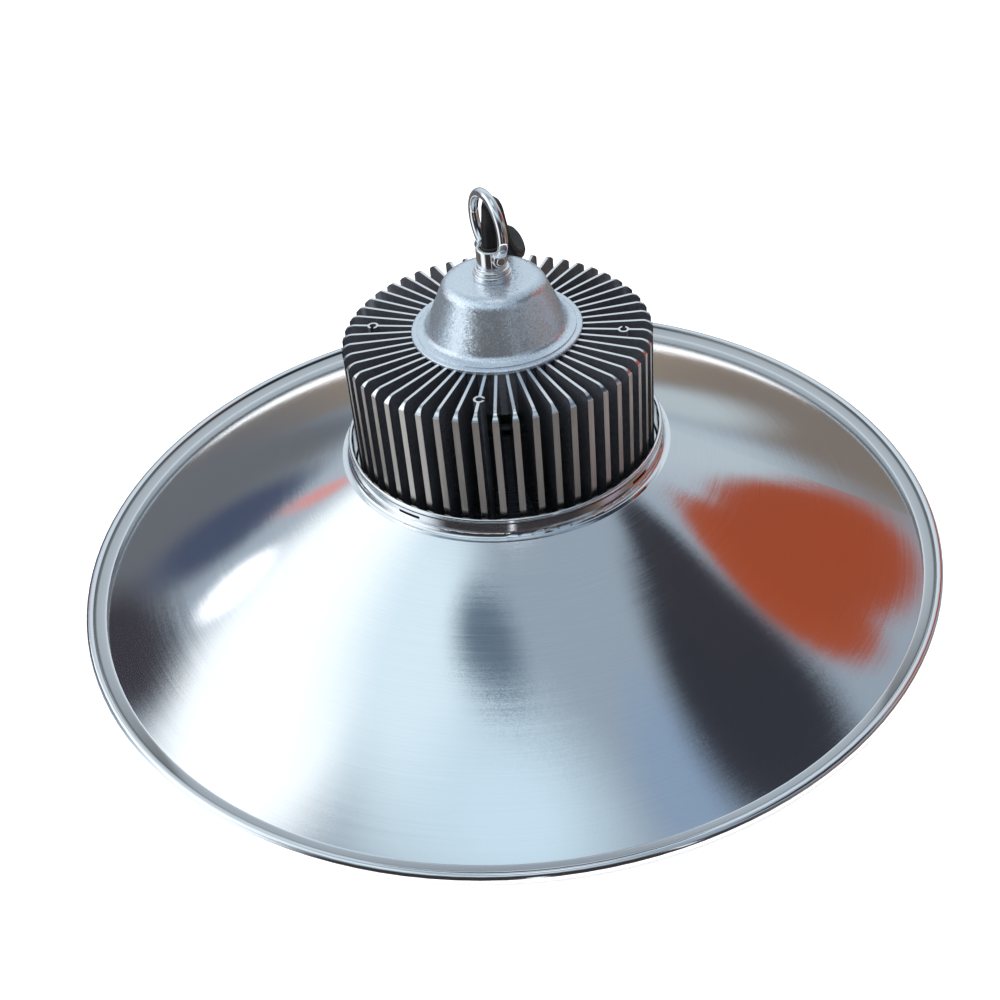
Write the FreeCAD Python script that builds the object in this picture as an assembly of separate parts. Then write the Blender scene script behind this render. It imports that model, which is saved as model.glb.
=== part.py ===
import FreeCAD, Part

import math
import os

# High bay light: a spun aluminium reflector under a finned heatsink, with the driver
# inside the heatsink's core, the LED board under it and a hook on its cast cover.
# Millimetres, +Z up. The lamp stands on its rim: z = 0 is the rim, x = y = 0 its axis.

V = FreeCAD.Vector
UP = V(0, 0, 1)

# ---------------------------------------------------------------- driving dimensions
# Reflector
SHEET = 1.0                     # spun aluminium
CREASE_RADIUS = 215.0           # where the cone meets the rim
CONE_HEIGHT = 66.6              # from the crease up to the ledge under the neck
LEDGE_WIDTH = 1.6
NECK_HEIGHT = 7.4               # from the ledge to the neck's top edge
NECK_FILLET = 2.4
FLANGE_WIDTH = 5.2              # rim flange, from the crease to the bead
FLANGE_RISE = 2.4
BEAD_RADIUS = 2.6               # rolled edge
SLOT_LENGTH = 12.0              # tongue slots in the neck
SLOT_HEIGHT = 1.6
SLOT_DROP = 2.2                 # slot centre below the neck's top edge
SLOT_COUNT = 4

# Heatsink extrusion
HEATSINK_RADIUS = 75.0
HEATSINK_LENGTH = 67.0
FIN_COUNT = 52
FIN_THICKNESS = 1.4
FIN_TIP_WIDTH = 3.0
FIN_FLARE = 4.6                 # radial length of the flared tip
BEVEL_WIDTH = 5.2               # turned bevel on the top outer corner
BEVEL_HEIGHT = 3.0
CORE_RADIUS = 40.0
CORE_WALL = 3.0
CHANNEL_PITCH_RADIUS = 60.9           # radius of the screw channels' centres
CHANNEL_RADIUS = 2.7
CHANNEL_BORE = 1.65
CHANNEL_MOUTH = 1.5
CHANNEL_COUNT = 4
FIRST_CHANNEL = 263.1           # degrees about +Z, from +X
SCREW_LINE_OFFSET = -27.9       # from a channel to the slot beside it, degrees
WINDOW_ANGLE = 9.0              # from the front channel to the vent window, degrees
WINDOW_WIDTH = 15.0
WINDOW_HEIGHTS = (7.2, 4.6)     # upper and lower opening
WINDOW_BAR = 1.6
WINDOW_DROP = 23.6              # top of the window below the heatsink's top

# Cast top cover
COVER_FLANGE_RADIUS = 41.3
COVER_FLANGE_HEIGHT = 1.6
COVER_STEP_RADIUS = 38.5
COVER_STEP = 0.5
COVER_BASE_RADIUS = 34.2        # foot of the cone
COVER_BASE_HEIGHT = 5.1
COVER_SHOULDER_RADIUS = 26.7
COVER_SHOULDER_HEIGHT = 21.6
COVER_TOP_RADIUS = 20.7
COVER_HEIGHT = 28.2
COVER_WALL = 2.5
SPIGOT_DEPTH = 5.0
SPIGOT_WALL = 2.5
COVER_BOSS_RADIUS = 4.0
COVER_BOSS_DEPTH = 12.0         # above the heatsink's top
TIE_PITCH_RADIUS = 29.0
TIE_COUNT = 3
GASKET_HEIGHT = 1.0

# Hook
STEM_RADIUS = 6.0
STEM_LENGTH = 14.0              # below the cover's top face
SLEEVE_RADIUS = 7.0
SLEEVE_BORE = 4.5
STEM_BORE = 4.0
WASHER_RADIUS = 9.3
WASHER_HEIGHT = 3.2
COLLAR_RADIUS = 8.5
COLLAR_HEIGHT = 2.2
SLEEVE_HEIGHT = 12.3            # from the washer's top to the sleeve's mouth
PIVOT_DROP = 2.9                # pivot below the sleeve's mouth
PIVOT_ANGLE = 297.0             # direction of the pivot pin that faces the front
PIN_RADIUS = 1.3
PIN_HEAD_RADIUS = 2.3
PIN_HEAD_HEIGHT = 0.9
ROD_RADIUS = 2.4
BOW_CENTRE_HEIGHT = 13.8        # pivot to the centre of the round bow
BOW_RADIUS = 15.1               # of the rod's centre line
BOW_OVERRUN = 47.0              # degrees that the bow runs on below its centre, each side
BAIL_LEAN = 1.0                 # degrees from upright, away from the cable
EYE_RADIUS = 3.5
EYE_THICKNESS = 3.4
EYE_GAP = 0.4                   # between the sleeve and an eye
NUT_ACROSS_FLATS = 19.0
NUT_HEIGHT = 6.0
SPRING_WASHER = 1.6
SPRING_WASHER_RADIUS = 10.0

# Under the heatsink
RING_GAP = 2.0                  # between the heatsink and the mounting ring
RING_WALL = 1.0                 # pressed mounting ring
MOUNTING_RING_HEIGHT = 17.5
RING_LIP = 1.1                  # radius of its rolled lip
RING_FLANGE_INNER = 56.5
TONGUE_WIDTH = 10.0
PLATE_THICKNESS = 5.0
LENS_RING_INSET = 2.0           # lens ring inside the heatsink's outline
LENS_RING_HEIGHT = 7.0
LENS_RADIUS = 53.7
LENS_THICKNESS = 3.0
LENS_LIP = 3.9                  # how far the lens ring reaches under the lens
LENS_LIP_THICKNESS = 1.5
LENS_GASKET_WIDTH = 3.4
BOARD_RADIUS = 48.5
BOARD_THICKNESS = 1.6
PAD_THICKNESS = 0.3
CHIP_SIZE = 3.0
CHIP_HEIGHT = 0.7
CHIP_RINGS = ((6, 11.5), (12, 22.5), (18, 30.5), (24, 38.5))    # count, radius
BOARD_SCREW_PITCH_RADIUS = 44.5
BOARD_SCREW_COUNT = 6
LEAD_HOLE_PITCH_RADIUS = 17.0
LEAD_HOLE_RADIUS = 2.4

# Screws: shank and head radius, head height
CLAMP_SCREW = (1.6, 3.5, 2.6)
CLAMP_SCREW_REACH = 18.0        # into the screw channel
TIE_SCREW = (1.9, 3.4, 2.8)
TIE_SCREW_REACH = 8.0           # into the cover's boss, from the heatsink's top
SMALL_SCREW = (1.2, 2.4, 1.3)
SMALL_SCREW_REACH = 3.0

# Driver inside the core
DRIVER_ANGLE = 272.5            # the way the driver board faces
PCB_DISTANCE = 22.0             # back face of the board from the axis
PCB_WIDTH = 53.0
PCB_THICKNESS = 1.6
PCB_FOOT = 4.0                  # lower edge of the board above the bracket's foot
PCB_HEAD = 1.0                  # upper edge of the board below the bracket's shelf
FRAME_SHEET = 1.2
FRAME_WIDTH = 44.0
FRAME_DROP = 10.0               # top of the frame below the heatsink's top
FRAME_DEPTH = 26.0
TAB_WIDTH = 7.0
TRANSFORMER = (22.0, 15.0, 20.0)    # width, depth, height
CAPACITORS = ((-7.0, 10.0, 7.5, 19.0), (8.5, 5.5, 5.0, 15.0))    # across, below the board's edge, radius, length
CHOKE = (6.2, 20.0, 6.0, 2.6)       # across, below the board's edge, ring and wire radius
TERMINAL = (24.0, 12.0, 10.0)
LED_LEAD_RISE = 24.0            # straight part above the base plate
LED_LEAD_END = 40.0             # where they meet the board, above the base plate
TERMINAL_SCREW_RADIUS = 1.9

# Supply cable
CABLE_RADIUS = 3.75
CORE_WIRE_RADIUS = 1.25
STRIPPED_LENGTH = 32.0
GROMMET_LIP = 0.6
TAIL_END_DROP = 26.0            # inner end of the cable's sheath below the cover's top

# Clearances
FIT = 0.3                       # between pieces that are put together loosely
SLIDE = 0.05                    # round a screw or a pin

# ---------------------------------------------------------------- levels and places
SHEET_FOOT = SHEET              # upper face of the sheet at the crease
LEDGE_Z = SHEET_FOOT + CONE_HEIGHT
NECK_TOP = LEDGE_Z + NECK_HEIGHT
SLOT_Z = NECK_TOP - SLOT_DROP
RING_RADIUS = HEATSINK_RADIUS + RING_GAP + RING_WALL    # outside of the mounting ring's wall
NECK_BORE = RING_RADIUS + FIT
NECK_RADIUS = NECK_BORE + SHEET                         # outside of the neck
LENS_RING_RADIUS = HEATSINK_RADIUS - LENS_RING_INSET
LIP_Z = NECK_TOP + FIT                          # underside of the ring's lip
RING_TOP = LIP_Z + 2 * RING_LIP
LENS_RING_SEAT = RING_TOP - MOUNTING_RING_HEIGHT        # underside of the mounting ring
PLATE_Z = LENS_RING_SEAT + RING_WALL
HEATSINK_Z = PLATE_Z + PLATE_THICKNESS
TOP_Z = HEATSINK_Z + HEATSINK_LENGTH
COVER_TOP_Z = TOP_Z + COVER_HEIGHT
CORE_BORE = CORE_RADIUS - CORE_WALL
WASHER_TOP = COVER_TOP_Z + WASHER_HEIGHT
MOUTH_Z = WASHER_TOP + SLEEVE_HEIGHT
PIVOT_Z = MOUTH_Z - PIVOT_DROP
STEM_END = COVER_TOP_Z - STEM_LENGTH
COVER_CEILING = COVER_TOP_Z - COVER_WALL
EYE_CENTRE = SLEEVE_RADIUS + EYE_GAP + EYE_THICKNESS / 2
LENS_RING_Z = LENS_RING_SEAT - LENS_RING_HEIGHT
LENS_Z = LENS_RING_Z + LENS_LIP_THICKNESS
LENS_POCKET = LENS_RADIUS + FIT
BOARD_Z = PLATE_Z - PAD_THICKNESS - BOARD_THICKNESS
CHIP_Z = BOARD_Z - CHIP_HEIGHT
FOOT_Z = HEATSINK_Z
FRAME_HEIGHT = HEATSINK_LENGTH - FRAME_DROP
PCB_HEIGHT = FRAME_HEIGHT - PCB_FOOT - PCB_HEAD
PCB_TOP = FOOT_Z + PCB_FOOT + PCB_HEIGHT
TAIL_END = COVER_TOP_Z - TAIL_END_DROP
GROMMET_TOP = MOUTH_Z + GROMMET_LIP
CHANNEL_ANGLES = [FIRST_CHANNEL + 360.0 * k / CHANNEL_COUNT for k in range(CHANNEL_COUNT)]
TIE_ANGLES = [DRIVER_ANGLE + 180 + 360.0 * k / TIE_COUNT for k in range(TIE_COUNT)]
SLOT_ANGLES = [FIRST_CHANNEL + SCREW_LINE_OFFSET + 360.0 * k / SLOT_COUNT for k in range(SLOT_COUNT)]

# Centre line of the supply cable from the grommet: up, over the hook's back, down behind the
# cover, across the fins, down behind the heatsink and out along the reflector.
CABLE_ROUTE = [
    (0, 0, 177.3),
    (0, 0, 184.4),
    (0.6, 5.6, 190),
    (0.4, 14.9, 191.3),
    (2.4, 21.9, 186.1),
    (3.7, 25.3, 174.3),
    (6.7, 32.2, 163),
    (8.3, 42.6, 153.9),
    (7.2, 55.2, 147.7),
    (5, 70.6, 145.7),
    (1.1, 83.5, 140.1),
    (-2.8, 93.6, 130.4),
    (-5, 102, 116.8),
    (-6.4, 106.8, 100.5),
    (-7.4, 110.4, 78.8),
    (-7.9, 116, 65),
    (-8, 124.8, 54.6),
    (-7, 136.5, 47),
    (-4, 151, 38),
    (1, 165.5, 30.8),
    (7, 177.5, 24.5),
]
WIRE_FAN = 6.0                  # how far the stripped cores spread at their ends

PARTS = {}


def put(name, shape):
    """Keeps a finished node under its name."""
    PARTS[name] = shape


# ---------------------------------------------------------------- geometry helpers
def polar(radius, degrees, z=0.0):
    a = math.radians(degrees)
    return V(radius * math.cos(a), radius * math.sin(a), z)


def corner_arc(before, corner, after, radius):
    """The arc of that radius that rounds a corner, as its first, middle and last point."""
    a = (before - corner).normalize()
    b = (after - corner).normalize()
    half = a.getAngle(b) / 2
    reach = radius / math.tan(half)
    bisector = (a + b).normalize()
    centre = corner + bisector * (radius / math.sin(half))
    return corner + a * reach, centre - bisector * radius, corner + b * reach


def rounded_edges(points, radii, closed):
    """Straight runs joined by tangent arcs. A radius of 0 leaves the corner sharp."""
    count = len(points)
    corners = []
    for i, (point, radius) in enumerate(zip(points, radii)):
        if radius <= 0 or (not closed and i in (0, count - 1)):
            corners.append((point, None, point))
        else:
            corners.append(corner_arc(points[i - 1], point, points[(i + 1) % count], radius))
    edges = []
    for i in range(count):
        start, middle, end = corners[i]
        if middle is not None:
            edges.append(Part.Arc(start, middle, end).toShape())
        if closed or i < count - 1:
            following = corners[(i + 1) % count][0]
            if end.distanceToPoint(following) > 1e-6:
                edges.append(Part.LineSegment(end, following).toShape())
    return edges


def section(corners):
    """A closed face in the XZ plane from (radius, z) or (radius, z, rounding) corners."""
    points = [V(c[0], 0, c[1]) for c in corners]
    radii = [c[2] if len(c) > 2 else 0 for c in corners]
    return Part.Face(Part.Wire(rounded_edges(points, radii, True)))


def turned(corners):
    """A turned or spun solid from its section."""
    return section(corners).revolve(V(), UP, 360)


def sheet_section(corners, thickness):
    """Section of a bent sheet: its visible side as corners, with the other side to the right of
    the way they run. Bends keep the sheet's thickness."""
    points = [V(c[0], 0, c[1]) for c in corners]
    directions = [(b - a).normalize() for a, b in zip(points, points[1:])]
    sides = [V(d.z, 0, -d.x) for d in directions]
    back = [points[0] + sides[0] * thickness]
    back_radii = [0]
    for i in range(1, len(points) - 1):
        mitre = (sides[i - 1] + sides[i]).normalize()
        back.append(points[i] + mitre * (thickness / mitre.dot(sides[i])))
        bend = corners[i][2] if len(corners[i]) > 2 else 0
        towards = directions[i - 1].dot(sides[i]) < 0
        back_radii.append(max(bend - thickness, 0) if towards else bend + thickness if bend else 0)
    back.append(points[-1] + sides[-1] * thickness)
    back_radii.append(0)
    radii = [c[2] if len(c) > 2 else 0 for c in corners]
    outline = points + back[::-1]
    return Part.Face(Part.Wire(rounded_edges(outline, radii + back_radii[::-1], True)))


def cylinder(radius, height, base, axis=UP):
    return Part.makeCylinder(radius, height, base, axis)


def tube(radius, bore, height, base, axis=UP):
    return cylinder(radius, height, base, axis).cut(cylinder(bore, height, base, axis))


def box(width, depth, height, centre):
    """A box on its base centre."""
    return Part.makeBox(width, depth, height, centre - V(width / 2, depth / 2, 0))


def turn(shape, degrees):
    """A copy turned about the lamp's axis."""
    copy = shape.copy()
    copy.rotate(V(), UP, degrees)
    return copy


def round_array(shape, count, first=0.0):
    return [turn(shape, first + 360.0 * k / count) for k in range(count)]


def drilled(shape, holes):
    return shape.cut(Part.makeCompound(holes))


def screw(kind, length, head_seat):
    """A pan head screw that points up, its head below head_seat and its shank above."""
    shank_radius, head_radius, head_height = kind
    rounding = head_height * 0.45
    body = turned([
        (0, head_seat - head_height),
        (head_radius, head_seat - head_height, rounding),
        (head_radius, head_seat),
        (shank_radius, head_seat),
        (shank_radius, head_seat + length - shank_radius * 0.6),
        (shank_radius * 0.45, head_seat + length),
        (0, head_seat + length),
    ])
    slot = head_radius * 0.62
    depth = head_height * 0.45
    cross = box(slot * 2, 0.7, depth, V(0, 0, head_seat - head_height))
    return body.cut(cross.fuse(turn(cross, 90)))


def wire_solid(points, radii, radius):
    """A round wire or cable along straight runs joined by tangent arcs."""
    route = Part.Wire(rounded_edges(points, radii, False))
    start = (points[1] - points[0]).normalize()
    ring = Part.Wire(Part.Circle(points[0], start, radius).toShape())
    return route.makePipeShell([ring], True, True), route.Length


def route_radii(points, share=0.45):
    """The largest arcs that the runs allow."""
    radii = [0]
    for a, b, c in zip(points, points[1:], points[2:]):
        shorter = min(a.distanceToPoint(b), b.distanceToPoint(c))
        half_turn = (b - a).getAngle(c - b) / 2
        radii.append(share * shorter / math.tan(half_turn))
    return radii + [0]


# ---------------------------------------------------------------- reflector
def reflector():
    """Spun in one piece: neck, ledge, cone, creased rim flange and rolled bead."""
    ledge_inner = NECK_RADIUS + NECK_FILLET
    flange_end = CREASE_RADIUS + FLANGE_WIDTH
    spun = sheet_section([
        (NECK_RADIUS, NECK_TOP),
        (NECK_RADIUS, LEDGE_Z, NECK_FILLET),
        (ledge_inner + LEDGE_WIDTH, LEDGE_Z, 0.4),
        (CREASE_RADIUS, SHEET_FOOT, 0.5),
        (flange_end, SHEET_FOOT + FLANGE_RISE),
    ][::-1], -SHEET)
    body = spun.revolve(V(), UP, 360)
    bead_centre = (flange_end + BEAD_RADIUS * 0.86, BEAD_RADIUS)
    body = body.fuse(bead(bead_centre)).removeSplitter()
    slot = box(SHEET * 4, SLOT_LENGTH, SLOT_HEIGHT, V(NECK_RADIUS - SHEET / 2, 0, SLOT_Z - SLOT_HEIGHT / 2))
    body = drilled(body, [turn(slot, a) for a in SLOT_ANGLES])
    put("reflector", body)


def bead(centre):
    """The rim's edge, curled over until it nearly meets the flange again."""
    open_from, open_to = math.radians(222), math.radians(176)

    def on(radius, angle):
        return V(centre[0] + radius * math.cos(angle), 0, centre[1] + radius * math.sin(angle))

    outer, inner = BEAD_RADIUS, BEAD_RADIUS - SHEET
    last = open_from - 2 * math.pi
    half = (open_to + last) / 2
    edges = [
        Part.Arc(on(outer, open_to), on(outer, half), on(outer, last)).toShape(),
        Part.LineSegment(on(outer, last), on(inner, last)).toShape(),
        Part.Arc(on(inner, last), on(inner, half), on(inner, open_to)).toShape(),
        Part.LineSegment(on(inner, open_to), on(outer, open_to)).toShape(),
    ]
    return Part.Face(Part.Wire(edges)).revolve(V(), UP, 360)


def mounting_ring():
    """Pressed ring under the heatsink: it carries the reflector by its lip and four tongues."""
    inner = RING_RADIUS - RING_WALL
    pressed = sheet_section([
        (inner, RING_TOP - RING_LIP),
        (inner, PLATE_Z, 0.6),
        (RING_FLANGE_INNER, PLATE_Z),
    ], -RING_WALL).revolve(V(), UP, 360)
    lip = turned([
        (inner, LIP_Z),
        (inner, RING_TOP, RING_WALL * 0.9),
        (inner + RING_WALL + 2 * RING_LIP - SHEET, RING_TOP, RING_LIP * 0.95),
        (inner + RING_WALL + 2 * RING_LIP - SHEET, LIP_Z, RING_LIP * 0.6),
    ])
    tongue_reach = NECK_RADIUS - FIT - inner
    tongue = box(
        tongue_reach, TONGUE_WIDTH, SLOT_HEIGHT - 2 * FIT,
        V(inner + tongue_reach / 2, 0, SLOT_Z - SLOT_HEIGHT / 2 + FIT),
    ).cut(cylinder(inner, SLOT_HEIGHT, V(0, 0, SLOT_Z - SLOT_HEIGHT / 2)))
    ring = pressed.multiFuse([lip] + [turn(tongue, a) for a in SLOT_ANGLES])
    holes = [cylinder(CLAMP_SCREW[0] + FIT, RING_WALL * 4,
                      polar(CHANNEL_PITCH_RADIUS, a, LENS_RING_SEAT - RING_WALL))
             for a in CHANNEL_ANGLES]
    put("mounting_ring", drilled(ring, holes))


# ---------------------------------------------------------------- heatsink
def fin_outline(angle):
    """Edges of one fin seen from above, from its root round its flared tip and back."""
    half, tip = FIN_THICKNESS / 2, FIN_TIP_WIDTH / 2
    root = math.sqrt(CORE_RADIUS ** 2 - half ** 2)
    neck = HEATSINK_RADIUS - FIN_FLARE
    tip_side = math.sqrt(HEATSINK_RADIUS ** 2 - tip ** 2)

    def at(radial, across):
        p = V(radial, across, 0)
        return FreeCAD.Rotation(UP, angle).multVec(p)

    bow = (neck + (tip_side - neck) * 0.62, half + (tip - half) * 0.3)
    return [
        Part.LineSegment(at(root, -half), at(neck, -half)).toShape(),
        Part.Arc(at(neck, -half), at(bow[0], -bow[1]), at(tip_side, -tip)).toShape(),
        Part.Arc(at(tip_side, -tip), at(HEATSINK_RADIUS, 0), at(tip_side, tip)).toShape(),
        Part.Arc(at(tip_side, tip), at(bow[0], bow[1]), at(neck, half)).toShape(),
        Part.LineSegment(at(neck, half), at(root, half)).toShape(),
    ], at(root, -half), at(root, half)


def heatsink():
    """One extrusion: core tube, fins with flared tips and four C-shaped screw channels, with a
    bevel turned on its top corner and a vent window milled through the core."""
    pitch = 360.0 / FIN_COUNT
    fins = [fin_outline(FIRST_CHANNEL + pitch * k) for k in range(FIN_COUNT)]
    edges = []
    for k, (outline, _, last) in enumerate(fins):
        following = fins[(k + 1) % FIN_COUNT][1]
        between = polar(CORE_RADIUS, FIRST_CHANNEL + pitch * (k + 0.5))
        edges += outline + [Part.Arc(last, between, following).toShape()]
    profile = Part.Face(Part.Wire(edges))
    body = profile.extrude(UP * HEATSINK_LENGTH)
    body.translate(UP * HEATSINK_Z)
    channels = [cylinder(CHANNEL_RADIUS, HEATSINK_LENGTH, polar(CHANNEL_PITCH_RADIUS, a, HEATSINK_Z))
                for a in CHANNEL_ANGLES]
    body = body.multiFuse(channels)
    bores = []
    for a in CHANNEL_ANGLES:
        bores.append(cylinder(CHANNEL_BORE, HEATSINK_LENGTH, polar(CHANNEL_PITCH_RADIUS, a, HEATSINK_Z)))
        mouth = box(CHANNEL_MOUTH, CHANNEL_RADIUS * 2, HEATSINK_LENGTH,
                    V(CHANNEL_PITCH_RADIUS, CHANNEL_RADIUS, HEATSINK_Z))
        bores.append(turn(mouth, a))
    core_hole = cylinder(CORE_BORE, HEATSINK_LENGTH, V(0, 0, HEATSINK_Z))
    body = drilled(body, bores + [core_hole])
    body = body.cut(bevel_cutter())
    put("heatsink", drilled(body, vent_windows()).removeSplitter())


def bevel_cutter():
    """What the lathe takes off the top outer corner: a slightly rounded bevel."""
    inner = HEATSINK_RADIUS - BEVEL_WIDTH
    low = TOP_Z - BEVEL_HEIGHT
    crown = V(inner + BEVEL_WIDTH * 0.6, 0, TOP_Z - BEVEL_HEIGHT * 0.3)
    spare = 2.0
    edges = [
        Part.Arc(V(inner, 0, TOP_Z), crown, V(HEATSINK_RADIUS, 0, low)).toShape(),
        Part.LineSegment(V(HEATSINK_RADIUS, 0, low), V(HEATSINK_RADIUS + spare, 0, low)).toShape(),
        Part.LineSegment(V(HEATSINK_RADIUS + spare, 0, low), V(HEATSINK_RADIUS + spare, 0, TOP_Z + spare)).toShape(),
        Part.LineSegment(V(HEATSINK_RADIUS + spare, 0, TOP_Z + spare), V(inner, 0, TOP_Z + spare)).toShape(),
        Part.LineSegment(V(inner, 0, TOP_Z + spare), V(inner, 0, TOP_Z)).toShape(),
    ]
    return Part.Face(Part.Wire(edges)).revolve(V(), UP, 360)


def vent_windows():
    """Two openings, one above the other, through the core's wall between the fins' roots."""
    pitch = 360.0 / FIN_COUNT
    top = TOP_Z - WINDOW_DROP
    cuts = []
    for height in WINDOW_HEIGHTS:
        low = top - height
        block = box(CORE_WALL * 1.6, WINDOW_WIDTH, height, V(CORE_RADIUS - CORE_WALL * 0.8, 0, low))
        cuts.append(turn(block, FIRST_CHANNEL + WINDOW_ANGLE))
        top = low - WINDOW_BAR
    fins = []
    for k in (0, 1, 2, 3):
        fin = box(CORE_WALL * 4, FIN_THICKNESS, HEATSINK_LENGTH, V(CORE_RADIUS, 0, HEATSINK_Z))
        fins.append(turn(fin, FIRST_CHANNEL + pitch * k))
    return [c.cut(Part.makeCompound(fins)) for c in cuts]


# ---------------------------------------------------------------- cast cover
def top_cover():
    """Die-cast cover with a flat top, a rounded shoulder and a stepped flange."""
    shape = [
        (0, COVER_HEIGHT),
        (COVER_TOP_RADIUS + 2.6, COVER_HEIGHT, 7.5),
        (COVER_BASE_RADIUS, COVER_BASE_HEIGHT - 2.2, 4.0),
        (COVER_STEP_RADIUS, COVER_FLANGE_HEIGHT + COVER_STEP, 0.3),
        (COVER_STEP_RADIUS, COVER_FLANGE_HEIGHT),
        (COVER_FLANGE_RADIUS, COVER_FLANGE_HEIGHT, 0.8),
        (COVER_FLANGE_RADIUS, 0),
        (CORE_BORE - FIT, 0),
        (CORE_BORE - FIT, -SPIGOT_DEPTH, 0.5),
        (0, -SPIGOT_DEPTH),
    ]
    outside = turned([(c[0], c[1] + TOP_Z) + tuple(c[2:]) for c in shape])
    hollow_radius = CORE_BORE - FIT - SPIGOT_WALL
    slope = (COVER_BASE_RADIUS - COVER_SHOULDER_RADIUS) / (COVER_SHOULDER_HEIGHT - COVER_BASE_HEIGHT)
    inner_top = COVER_HEIGHT - COVER_WALL
    inside = turned([
        (0, TOP_Z - SPIGOT_DEPTH - 1),
        (hollow_radius, TOP_Z - SPIGOT_DEPTH - 1),
        (hollow_radius, TOP_Z + COVER_FLANGE_HEIGHT),
        (COVER_BASE_RADIUS - COVER_WALL, TOP_Z + COVER_BASE_HEIGHT, 1.5),
        (COVER_BASE_RADIUS - COVER_WALL - slope * (inner_top - COVER_BASE_HEIGHT), TOP_Z + inner_top, 4.5),
        (0, TOP_Z + inner_top),
    ])
    gasket_groove = tube(CORE_RADIUS, CORE_BORE - FIT, GASKET_HEIGHT, V(0, 0, TOP_Z))
    bosses = [cylinder(COVER_BOSS_RADIUS, COVER_BOSS_DEPTH + SPIGOT_DEPTH,
                       polar(TIE_PITCH_RADIUS, a, TOP_Z - SPIGOT_DEPTH))
              for a in TIE_ANGLES]
    cover = outside.cut(inside)
    cover = cover.multiFuse([b.common(outside) for b in bosses])
    holes = [cylinder(TIE_SCREW[0] + SLIDE, TIE_SCREW_REACH + SPIGOT_DEPTH + FIT,
                      polar(TIE_PITCH_RADIUS, a, TOP_Z - SPIGOT_DEPTH)) for a in TIE_ANGLES]
    holes.append(cylinder(STEM_RADIUS + FIT, COVER_WALL * 4, V(0, 0, COVER_CEILING - COVER_WALL)))
    put("top_cover", drilled(cover.cut(gasket_groove), holes).removeSplitter())
    put("cover_gasket", tube(CORE_RADIUS - FIT, CORE_BORE, GASKET_HEIGHT, V(0, 0, TOP_Z)))


# ---------------------------------------------------------------- hook
def pivot_frame(along, across, up):
    """A point from the bail's own directions: along its pivot, across it and up."""
    a = math.radians(PIVOT_ANGLE)
    axis = V(math.cos(a), math.sin(a), 0)
    front = V(math.sin(a), -math.cos(a), 0)
    lean = math.radians(BAIL_LEAN)
    local = axis * along + front * (across * math.cos(lean) + up * math.sin(lean))
    return local + UP * (PIVOT_Z + up * math.cos(lean) - across * math.sin(lean))


def hook_sleeve():
    """Hollow stem and sleeve that the cable passes through, with its collar."""
    body = turned([
        (STEM_BORE, STEM_END, 0.4),
        (STEM_RADIUS, STEM_END, 0.6),
        (STEM_RADIUS, WASHER_TOP),
        (COLLAR_RADIUS, WASHER_TOP, 0.5),
        (COLLAR_RADIUS, WASHER_TOP + COLLAR_HEIGHT, 0.8),
        (SLEEVE_RADIUS, WASHER_TOP + COLLAR_HEIGHT, 0.7),
        (SLEEVE_RADIUS, MOUTH_Z, 1.1),
        (SLEEVE_BORE, MOUTH_Z, 1.0),
        (SLEEVE_BORE, WASHER_TOP),
        (STEM_BORE, WASHER_TOP - 1),
    ])
    a = math.radians(PIVOT_ANGLE)
    axis = V(math.cos(a), math.sin(a), 0)
    hole = cylinder(PIN_RADIUS + SLIDE, SLEEVE_RADIUS * 4, V(0, 0, PIVOT_Z) - axis * SLEEVE_RADIUS * 2, axis)
    put("hook_sleeve", body.cut(hole))
    put("hook_washer", turned([
        (STEM_RADIUS + FIT, COVER_TOP_Z),
        (WASHER_RADIUS, COVER_TOP_Z, 0.5),
        (WASHER_RADIUS, WASHER_TOP, 1.0),
        (STEM_RADIUS + FIT, WASHER_TOP),
    ]))


def stem_nut():
    """Spring washer and hexagon nut that hold the stem inside the cover."""
    washer_z = COVER_CEILING - SPRING_WASHER
    ring = tube(SPRING_WASHER_RADIUS, STEM_RADIUS + FIT, SPRING_WASHER, V(0, 0, washer_z))
    split = box(SPRING_WASHER_RADIUS, 0.8, SPRING_WASHER, V(SPRING_WASHER_RADIUS / 2 + 2, 0, washer_z))
    put("stem_spring_washer", ring.cut(split))
    corner = NUT_ACROSS_FLATS / 2 / math.cos(math.pi / 6)
    hexagon = Part.makePolygon([polar(corner, 60 * k, washer_z - NUT_HEIGHT) for k in range(7)])
    nut = Part.Face(hexagon).extrude(UP * NUT_HEIGHT)
    rounding = turned([
        (0, washer_z - NUT_HEIGHT),
        (corner - 1.2, washer_z - NUT_HEIGHT),
        (corner, washer_z - NUT_HEIGHT + 0.8),
        (corner, washer_z - 0.8),
        (corner - 1.2, washer_z),
        (0, washer_z),
    ])
    hole = cylinder(STEM_RADIUS + SLIDE, NUT_HEIGHT, V(0, 0, washer_z - NUT_HEIGHT))
    put("stem_nut", nut.common(rounding).cut(hole))


def pivot_pins():
    """Two headed pins, pressed into the sleeve, that the bail swings on."""
    head = EYE_CENTRE + EYE_THICKNESS / 2 + SLIDE * 2
    pin = turned([
        (0, SLEEVE_BORE + FIT / 2),
        (PIN_RADIUS, SLEEVE_BORE + FIT / 2, 0.2),
        (PIN_RADIUS, head),
        (PIN_HEAD_RADIUS, head),
        (PIN_HEAD_RADIUS, head + PIN_HEAD_HEIGHT, PIN_HEAD_HEIGHT * 0.8),
        (0, head + PIN_HEAD_HEIGHT),
    ])
    pins = []
    for side in (0, 180):
        copy = pin.copy()
        copy.rotate(V(), V(0, 1, 0), 90)
        copy.rotate(V(), UP, PIVOT_ANGLE + side)
        copy.translate(UP * PIVOT_Z)
        pins.append(copy)
    put("pivot_pins", Part.makeCompound(pins))


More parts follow.
